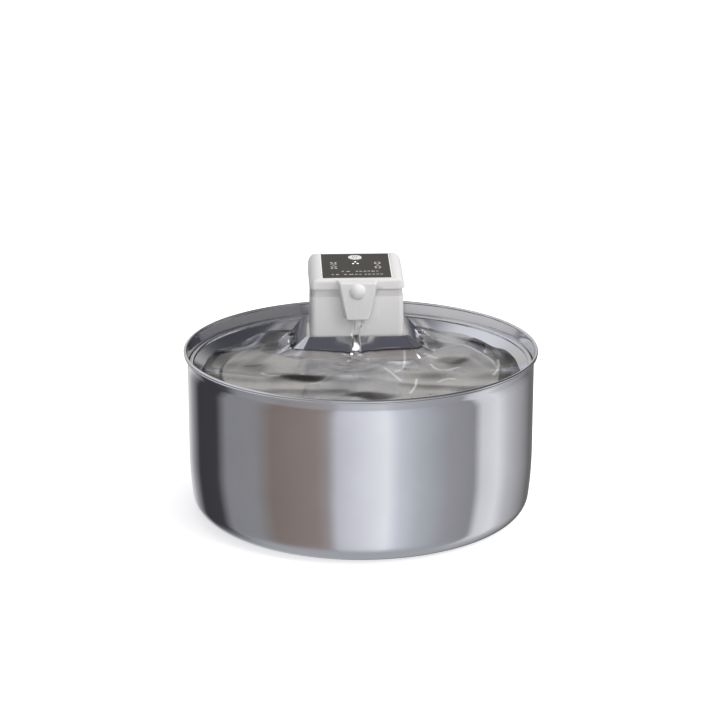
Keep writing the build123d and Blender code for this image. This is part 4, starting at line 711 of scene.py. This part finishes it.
def corner_share(x, y):
    """1 on the island's cut corners, 0 on its front and sides, from the plan's places in mm."""
    side, front = np.abs(x) - ISLAND_HALF, ISLAND_FRONT - y
    out = (side + front + ISLAND_CUT) / (2.0 - cut_rate())
    return np.clip(ISLAND_CUT + cut_rate() * out - np.abs(side - front), 0.0, 1.0)


def steel_island():
    """Top and flanks of the island, thickened downwards to the sheet."""
    flank_points, flank_faces = island_flank()
    flank = piece("tray_island", flank_points, flank_faces, "tray_steel", "tray", sharp=60.0)
    paint(flank, "dull", corner_share)
    top_points, top_faces = island_top()
    top = piece("tray_island_top", top_points, top_faces, "tray_steel", "tray")
    for shell in (flank, top):
        wall = shell.modifiers.new("sheet", "SOLIDIFY")
        wall.thickness = ISLAND_SHEET * MM
        wall.offset = -1.0
    return flank, top


# ---------------------------------------------------------------- water
def swell(x, y):
    """Height of the water over its level: crossing waves bent by each other, and rings round the fall."""
    bend_x = x + 9.0 * np.sin(y / 17.0 + 0.8) + 3.0 * np.sin(x / 9.0)
    bend_y = y + 9.0 * np.sin(x / 19.0 - 0.6) + 3.0 * np.cos(y / 10.0)
    high = np.sin(bend_x / 11.0 + bend_y / 22.0 + 0.6) * np.cos(bend_y / 12.5 - bend_x / 24.0)
    ripple = np.sin(bend_x / 6.4 - bend_y / 8.6 + 1.7)
    away = np.hypot(x - STREAM_X, y - STREAM_Y)
    rings = np.exp(-away / 9.0) * np.cos(away / 1.5)
    return SWELL_HIGH * high + RIPPLE_HIGH * ripple + RING_HIGH * rings


def rounded_path(path):
    """Path with its corners cut twice, each cut at a quarter and three quarters of a run."""
    for _ in range(2):
        cuts = np.stack([path[:-1] * 0.75 + path[1:] * 0.25, path[:-1] * 0.25 + path[1:] * 0.75], axis=1)
        path = np.concatenate([path[:1], cuts.reshape(-1, 2), path[-1:]])
    return path


def near_path(x, y, path, width):
    """Nearness to a rounded path, from 0 to 1; width is its half width along x and along y."""
    spot = np.stack([x, y], axis=-1) / width
    path = rounded_path(np.array(path, float)) / width
    near = np.zeros(np.shape(x))
    for start, end in zip(path[:-1], path[1:]):
        run = end - start
        along = np.clip((spot - start) @ run / (run @ run), 0.0, 1.0)
        away = np.linalg.norm(spot - start - along[..., None] * run, axis=-1)
        near = np.maximum(near, np.exp(-away ** 2))
    return near


def darkness(x, y):
    """Painted shade in the water, from 0 to 1: dark lines along the back wall and the island, and soft dark
    ovals.

    The line along the wall is broken, and slow waves bend the ovals' outlines.
    """
    turn = np.arctan2(y, x)
    away = np.hypot(x, y) - WALL_LINE_R - 2.0 * np.sin(7.0 * turn)
    edge = np.exp(-(away / WALL_LINE_WIDTH) ** 2)
    share = 0.75 * edge * np.clip(y / 25.0, 0.0, 1.0) * (0.6 + 0.4 * np.sin(13.0 * turn))
    share = np.maximum(share, 0.95 * near_path(x, y, FOOT_LINE, FOOT_WIDTH))
    x, y = x + 2.0 * np.sin(y / 4.5), y + 1.6 * np.sin(x / 7.0)
    for centre_x, centre_y, half_x, half_y, depth in PAINTED_DARK_SPOTS:
        away = np.hypot((x - centre_x) / half_x, (y - centre_y) / half_y)
        inside = np.clip((1.25 - away) / 0.8, 0.0, 1.0)
        share = np.maximum(share, depth * inside * inside * (3.0 - 2.0 * inside))
    return share


def glints(x, y):
    """Painted light on the water, from 0 to 1: thin glint lines through GLINTS and one soft highlight patch.
    """
    light = 0.8 * np.exp(-((x - PATCH[0]) / PATCH[2]) ** 2 - ((y - PATCH[1]) / PATCH[3]) ** 2)
    for path in GLINTS:
        light = np.maximum(light, near_path(x, y, path, GLINT_WIDTH))
    return light


def paint(made, name, share):
    """Store a share for each point of a mesh, worked out from the points' x and y in mm."""
    spots = np.empty(len(made.data.vertices) * 3, np.float32)
    made.data.vertices.foreach_get("co", spots)
    x, y, _ = spots.reshape(-1, 3).T / MM
    stored = made.data.attributes.new(name, "FLOAT", "POINT")
    stored.data.foreach_set("value", share(x, y).astype(np.float32))


def drinking_water():
    """Water's surface: rings out to the basin wall, height from swell, open under the island."""
    rings, count = 150, 420
    share = np.linspace(0.0, 1.0, rings)[None, :]
    turn = np.linspace(0.0, 2 * np.pi, count, endpoint=False)[:, None]
    radius = share * (basin_radius(WATER_Z) + WATER_OVERLAP)
    x, y = radius * np.cos(turn), radius * np.sin(turn)
    z = WATER_Z + swell(x, y)
    points = np.stack([x, y, z], axis=-1)
    faces = grid_faces(count, rings, wrap_rows=True)
    centres = points.reshape(-1, 3)[faces].mean(axis=1)
    hidden = inside_island(centres[:, 0], centres[:, 1], -2.0)
    made = piece("water_surface", points, faces[~hidden], "water", "tray", flip=True, sharp=180.0)
    # Painted shade and painted glints are stored on the water's points.
    paint(made, "shade", darkness)
    paint(made, "glint", glints)
    return made


def falling_water():
    """Stream: a tube whose centre falls in a curve from the spout, with a wandering oval section."""
    steps, count = 60, 20
    t = np.linspace(0.0, 1.0, steps)[:, None]
    turn = np.linspace(0.0, 2 * np.pi, count, endpoint=False)[None, :]
    start, end = SPOUT_TIP_Z + 1.0, WATER_Z - 0.8
    centre_x = STREAM_X * t ** 1.5 + 0.35 * np.sin(9.0 * t)
    centre_y = SPOUT_Y + (STREAM_Y - SPOUT_Y) * t
    foot = 1.2 * np.maximum(t - 0.86, 0.0) / 0.14
    radius = STREAM_R + 1.0 * np.sin(2.2 * t) + 0.25 * np.sin(17.0 * t + 2 * turn) + foot
    x = centre_x + radius * np.cos(turn)
    y = centre_y + radius * np.sin(turn) * 0.7
    z = start - (start - end) * t ** 1.6 + 0.0 * turn
    points = np.stack([x, y, z], axis=-1)
    faces = grid_faces(steps, count, wrap_columns=True)
    return piece("water_stream", points, faces, "water", "pump_unit", sharp=180.0)


# ---------------------------------------------------------------- label
def on_label(plan, lift):
    """Points (across, from the label's front edge) set on the sloping label, lift above it."""
    across, along = plan[..., 0], plan[..., 1]
    front_z = COVER_FRONT_TOP + (LABEL_FRONT - COVER_FRONT) * math.tan(SLOPE)
    y = LABEL_FRONT + along * math.cos(SLOPE) - lift * math.sin(SLOPE)
    z = front_z + along * math.sin(SLOPE) + lift * math.cos(SLOPE)
    return np.stack([across, y, z], axis=-1)


def ring_mark(centre, rim, inner):
    """Band between a closed outline round the centre and the same outline times inner."""
    return np.array(centre) + np.stack([rim * inner, rim]), grid_faces(2, len(rim), wrap_columns=True)


def light_marks():
    """Lit ends of the three clear rods."""
    turn = np.linspace(0.0, 2 * np.pi, 24, endpoint=False)
    rim = LIGHT_R * np.stack([np.cos(turn), np.sin(turn)], axis=1)
    return [ring_mark(place, rim, 0.0) for place in LIGHT_PLACES]


def bar_mark(centre, length, width, lean=0.0):
    """Plain bar turned by lean degrees."""
    turn = math.radians(lean)
    along = np.array([math.cos(turn), math.sin(turn)]) * length / 2
    across = np.array([-math.sin(turn), math.cos(turn)]) * width / 2
    corners = [[-along - across, along - across], [across - along, along + across]]
    plan = np.array(centre) + np.array(corners)
    return plan, grid_faces(2, 2)[:, ::-1]


def drop_mark(centre, radius):
    """Outline of a water drop: a circle whose upper half is drawn out to a point."""
    turn = np.linspace(0.0, 2 * np.pi, 40, endpoint=False)
    rise = np.maximum(np.sin(turn), 0.0)
    x = np.cos(turn) * (1 - 0.55 * rise ** 1.2)
    y = np.sin(turn) + 0.9 * rise ** 3
    return ring_mark(centre, radius * np.stack([x, y], axis=1), 0.62)


def label_marks():
    """Plain pictograms and dashes printed on the label."""
    marks = []
    for side in (-1, 1):
        middle = side * MARK_X
        for row, along in enumerate(BLOCK_ROWS):
            for step in (-1, 1):
                lean = 35.0 * side * step * (row % 2 * 2 - 1)
                marks.append(bar_mark((middle + step * BLOCK_STEP, along), *BLOCK_SIZE, lean))
        marks.append(drop_mark((middle, DROP_ROW), DROP_R))
    for along, dashes in ((UPPER_ROW, UPPER_DASHES), (LOWER_ROW, LOWER_DASHES)):
        marks += [bar_mark((across, along), length, DASH_WIDTH) for across, length in dashes]
    return marks


def label_border():
    """White line round the label, given a faint painted glow."""
    middle = LABEL_SIDE / 2
    half = middle - BORDER_WIDTH / 2
    level = [bar_mark((0.0, middle + side * half), LABEL_SIDE, BORDER_WIDTH) for side in (-1, 1)]
    upright = [bar_mark((side * half, middle), LABEL_SIDE, BORDER_WIDTH, 90) for side in (-1, 1)]
    return level + upright


def printed(name, marks, finish, body, lift):
    """One mesh of flat marks laid on the label."""
    points, faces, start = [], [], 0
    for plan, squares in marks:
        spots = on_label(plan, lift).reshape(-1, 3)
        points.append(spots)
        faces.append(squares + start)
        start += len(spots)
    return piece(name, np.concatenate(points), np.concatenate(faces), finish, body)


def power_mark():
    """Ring open at its top, with an upright bar in the gap, on the oval key."""
    turn = np.radians(np.linspace(130.0, 410.0, 40))
    rim = np.stack([np.cos(turn), np.sin(turn)], axis=1)
    plan = np.array((0.0, KEY_FROM_FRONT)) + np.stack([rim * radius for radius in KEY_RING])
    return [(plan, grid_faces(2, len(rim))), bar_mark((0.0, KEY_FROM_FRONT + 1.3), *KEY_BAR, 90)]


# ---------------------------------------------------------------- make the pieces
steel_bowl()
basin = steel_basin()
steel_island()
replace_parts(basin, "drinking_tray")
drinking_water()
falling_water()
printed("label_print", label_marks(), "print_white", "pump_unit", 0.03)
printed("label_border", label_border(), "border_painted_glow", "pump_unit", 0.03)
printed("light_dots", light_marks(), "light_glow", "pump_unit", 0.05)
printed("key_print", power_mark(), "print_grey", "mode_button", 0.54)
for node_name in ("upper_housing", "top_cover", "sensor_dome", "spout_nozzle", "lower_housing",
                  "riser_tube"):
    rounded_copy(node_name, "pump_unit")
rounded_copy("mode_button", "mode_button")
rounded_copy("port_cover", "port_cover")
rounded_copy("base_pads", "bowl")


# ---------------------------------------------------------------- stage
def floor():
    """Large pale floor disc just under the pads, brighter to the camera."""
    turn = np.linspace(0.0, 2 * np.pi, 96, endpoint=False)[None, :]
    radius = np.array([0.0, 0.4, 1.5, 6.0])[:, None]
    points = np.stack([radius * np.cos(turn), radius * np.sin(turn), 0 * radius * turn - 0.0002], axis=-1)
    mesh = bpy.data.meshes.new("floor")
    mesh.from_pydata(points.reshape(-1, 3), [], grid_faces(4, 96, wrap_columns=True).tolist())
    made = in_scene("floor", mesh)
    finish, f = material("floor_white")
    dull = f.add("ShaderNodeBsdfDiffuse", None, Color=(0.93, 0.93, 0.93))
    glow = f.add("ShaderNodeEmission", None, Color=(1.0, 1.0, 1.0), Strength=f.ray("Camera") * 0.5)
    f.add("ShaderNodeOutputMaterial", None, f.add("ShaderNodeAddShader", None, dull, glow))
    made.data.materials.append(finish)
    made.visible_glossy = False
    return made


def soft_lamp(name, place, size, power):
    """Square lamp that faces the object and shows in no reflection."""
    lamp = bpy.data.lights.new(name, "AREA")
    lamp.shape = "SQUARE"
    lamp.size = size
    lamp.energy = power
    made = in_scene(name, lamp)
    made.location = place
    made.rotation_mode = "QUATERNION"
    made.rotation_quaternion = (Vector(place) - Vector((0, 0, 0.08))).to_track_quat("Z", "Y")
    made.visible_glossy = False
    return made


# Colours of the studio, low and high, by share of a turn: behind at 0, left at 0.25, the front at 0.5, right
# at 0.75. BACK_BANDS are the colours behind, by a direction's height.
LOW_BANDS = [(0.000, (0.45, 0.45, 0.46)), (0.040, (0.70, 0.70, 0.71)), (0.075, (0.35, 0.35, 0.36)),
             (0.115, (0.05, 0.05, 0.055)), (0.185, (0.055, 0.055, 0.06)), (0.215, (0.27, 0.27, 0.29)),
             (0.285, (0.28, 0.28, 0.29)), (0.325, (0.235, 0.195, 0.175)), (0.410, (0.29, 0.24, 0.22)),
             (0.432, (0.34, 0.31, 0.31)), (0.450, (0.60, 0.60, 0.66)), (0.540, (0.94, 0.95, 1.00)),
             (0.566, (0.66, 0.68, 0.74)), (0.600, (0.50, 0.52, 0.56)), (0.660, (0.35, 0.35, 0.37)),
             (0.715, (0.30, 0.30, 0.31)), (0.734, (0.72, 0.72, 0.75)), (0.778, (0.84, 0.84, 0.87)),
             (0.812, (0.56, 0.56, 0.58)), (0.915, (0.16, 0.15, 0.15)), (1.000, (0.20, 0.20, 0.21))]
HIGH_BANDS = [(0.000, (0.30, 0.30, 0.32)), (0.12, (0.80, 0.81, 0.85)), (0.25, (0.74, 0.75, 0.79)),
              (0.34, (0.62, 0.63, 0.66)), (0.50, (0.30, 0.28, 0.27)), (0.62, (0.20, 0.19, 0.19)),
              (0.75, (0.08, 0.08, 0.095)), (0.88, (0.06, 0.06, 0.075)), (1.000, (0.30, 0.30, 0.32))]
BACK_BANDS = [(0.00, (0.90, 0.88, 0.84)), (0.030, (0.90, 0.88, 0.84)), (0.050, (0.47, 0.46, 0.45)),
              (0.20, (0.55, 0.54, 0.52)), (0.34, (0.66, 0.64, 0.60)), (0.48, (0.58, 0.56, 0.53)),
              (0.60, (0.26, 0.25, 0.23)), (0.70, (0.12, 0.115, 0.105)), (1.00, (0.12, 0.115, 0.105))]


def studio_air():
    """World: white to the camera, soft bands in reflections and refractions, a pale sky otherwise."""
    world = bpy.data.worlds.new("studio")
    bpy.context.scene.world = world
    world.use_nodes = True
    f = Finish(world.node_tree)
    way = f.add("ShaderNodeTexCoord", out="Generated")
    x, y, z = (f.add("ShaderNodeSeparateXYZ", None, way, out=axis) for axis in range(3))
    turn = f.add("ShaderNodeMath", {"operation": "ARCTAN2"}, x, y * -1.0) / (2 * math.pi) + 0.5
    low = f.add("ShaderNodeValToRGB", None, turn, stops=LOW_BANDS)
    high = f.add("ShaderNodeValToRGB", None, turn, stops=HIGH_BANDS)
    around = f.blend(z.between(-0.16, 0.06), low, high)
    around = f.blend(z.between(0.80, 0.96), around, (0.11, 0.11, 0.135))
    uneven = f.add("ShaderNodeTexNoise", None, Vector=way, Scale=5.0, Detail=1.0)
    behind = f.add("ShaderNodeValToRGB", None, z + (uneven - 0.5) * 0.2, stops=BACK_BANDS)
    aside = f.add("ShaderNodeMath", {"operation": "ABSOLUTE"}, turn - 0.5)
    share = aside.between(0.40, 0.46) * z.between(0.0, 0.05) * (1.0 - z.between(0.66, 0.76))
    around = f.blend(share, around, behind)
    around = f.blend((z * -1.0).between(0.5, 0.95), around, (0.42, 0.43, 0.46))
    sky = f.blend(x.between(-0.8, 0.8), (0.20, 0.20, 0.21), (1.08, 1.08, 1.09))
    colour = f.blend(f.ray("Glossy") + f.ray("Transmission"), sky, around)
    colour = f.blend(f.ray("Camera"), colour, (1.0, 1.0, 1.0))
    f.add("ShaderNodeOutputWorld", None, f.add("ShaderNodeBackground", None, Color=colour, Strength=1.0))


def front_camera():
    """Camera in front, a little to the left and above the rim; it looks at the middle at height aim."""
    azimuth, elevation = math.radians(-2.6), math.radians(16.61)
    aim, away = 0.10658, 1.39886
    flat = math.cos(elevation)
    back = Vector((math.sin(azimuth) * flat, -math.cos(azimuth) * flat, math.sin(elevation)))
    lens = bpy.data.cameras.new("camera")
    lens.lens = 108.8
    lens.sensor_width = 36.0
    lens.shift_x = 0.0044
    lens.shift_y = -0.0247
    made = in_scene("camera", lens)
    made.location = Vector((0.0, 0.0, aim)) + back * away
    made.rotation_mode = "QUATERNION"
    made.rotation_quaternion = (-back).to_track_quat("-Z", "Y")
    bpy.context.scene.camera = made


floor()
soft_lamp("key_lamp", (0.75, -0.75, 0.85), 0.5, 3.4)
soft_lamp("top_lamp", (0.15, 0.05, 1.25), 0.8, 3.8)
soft_lamp("front_lamp", (-0.25, -1.2, 0.35), 0.8, 3.4)
studio_air()
front_camera()
bpy.context.scene.view_settings.view_transform = "Standard"
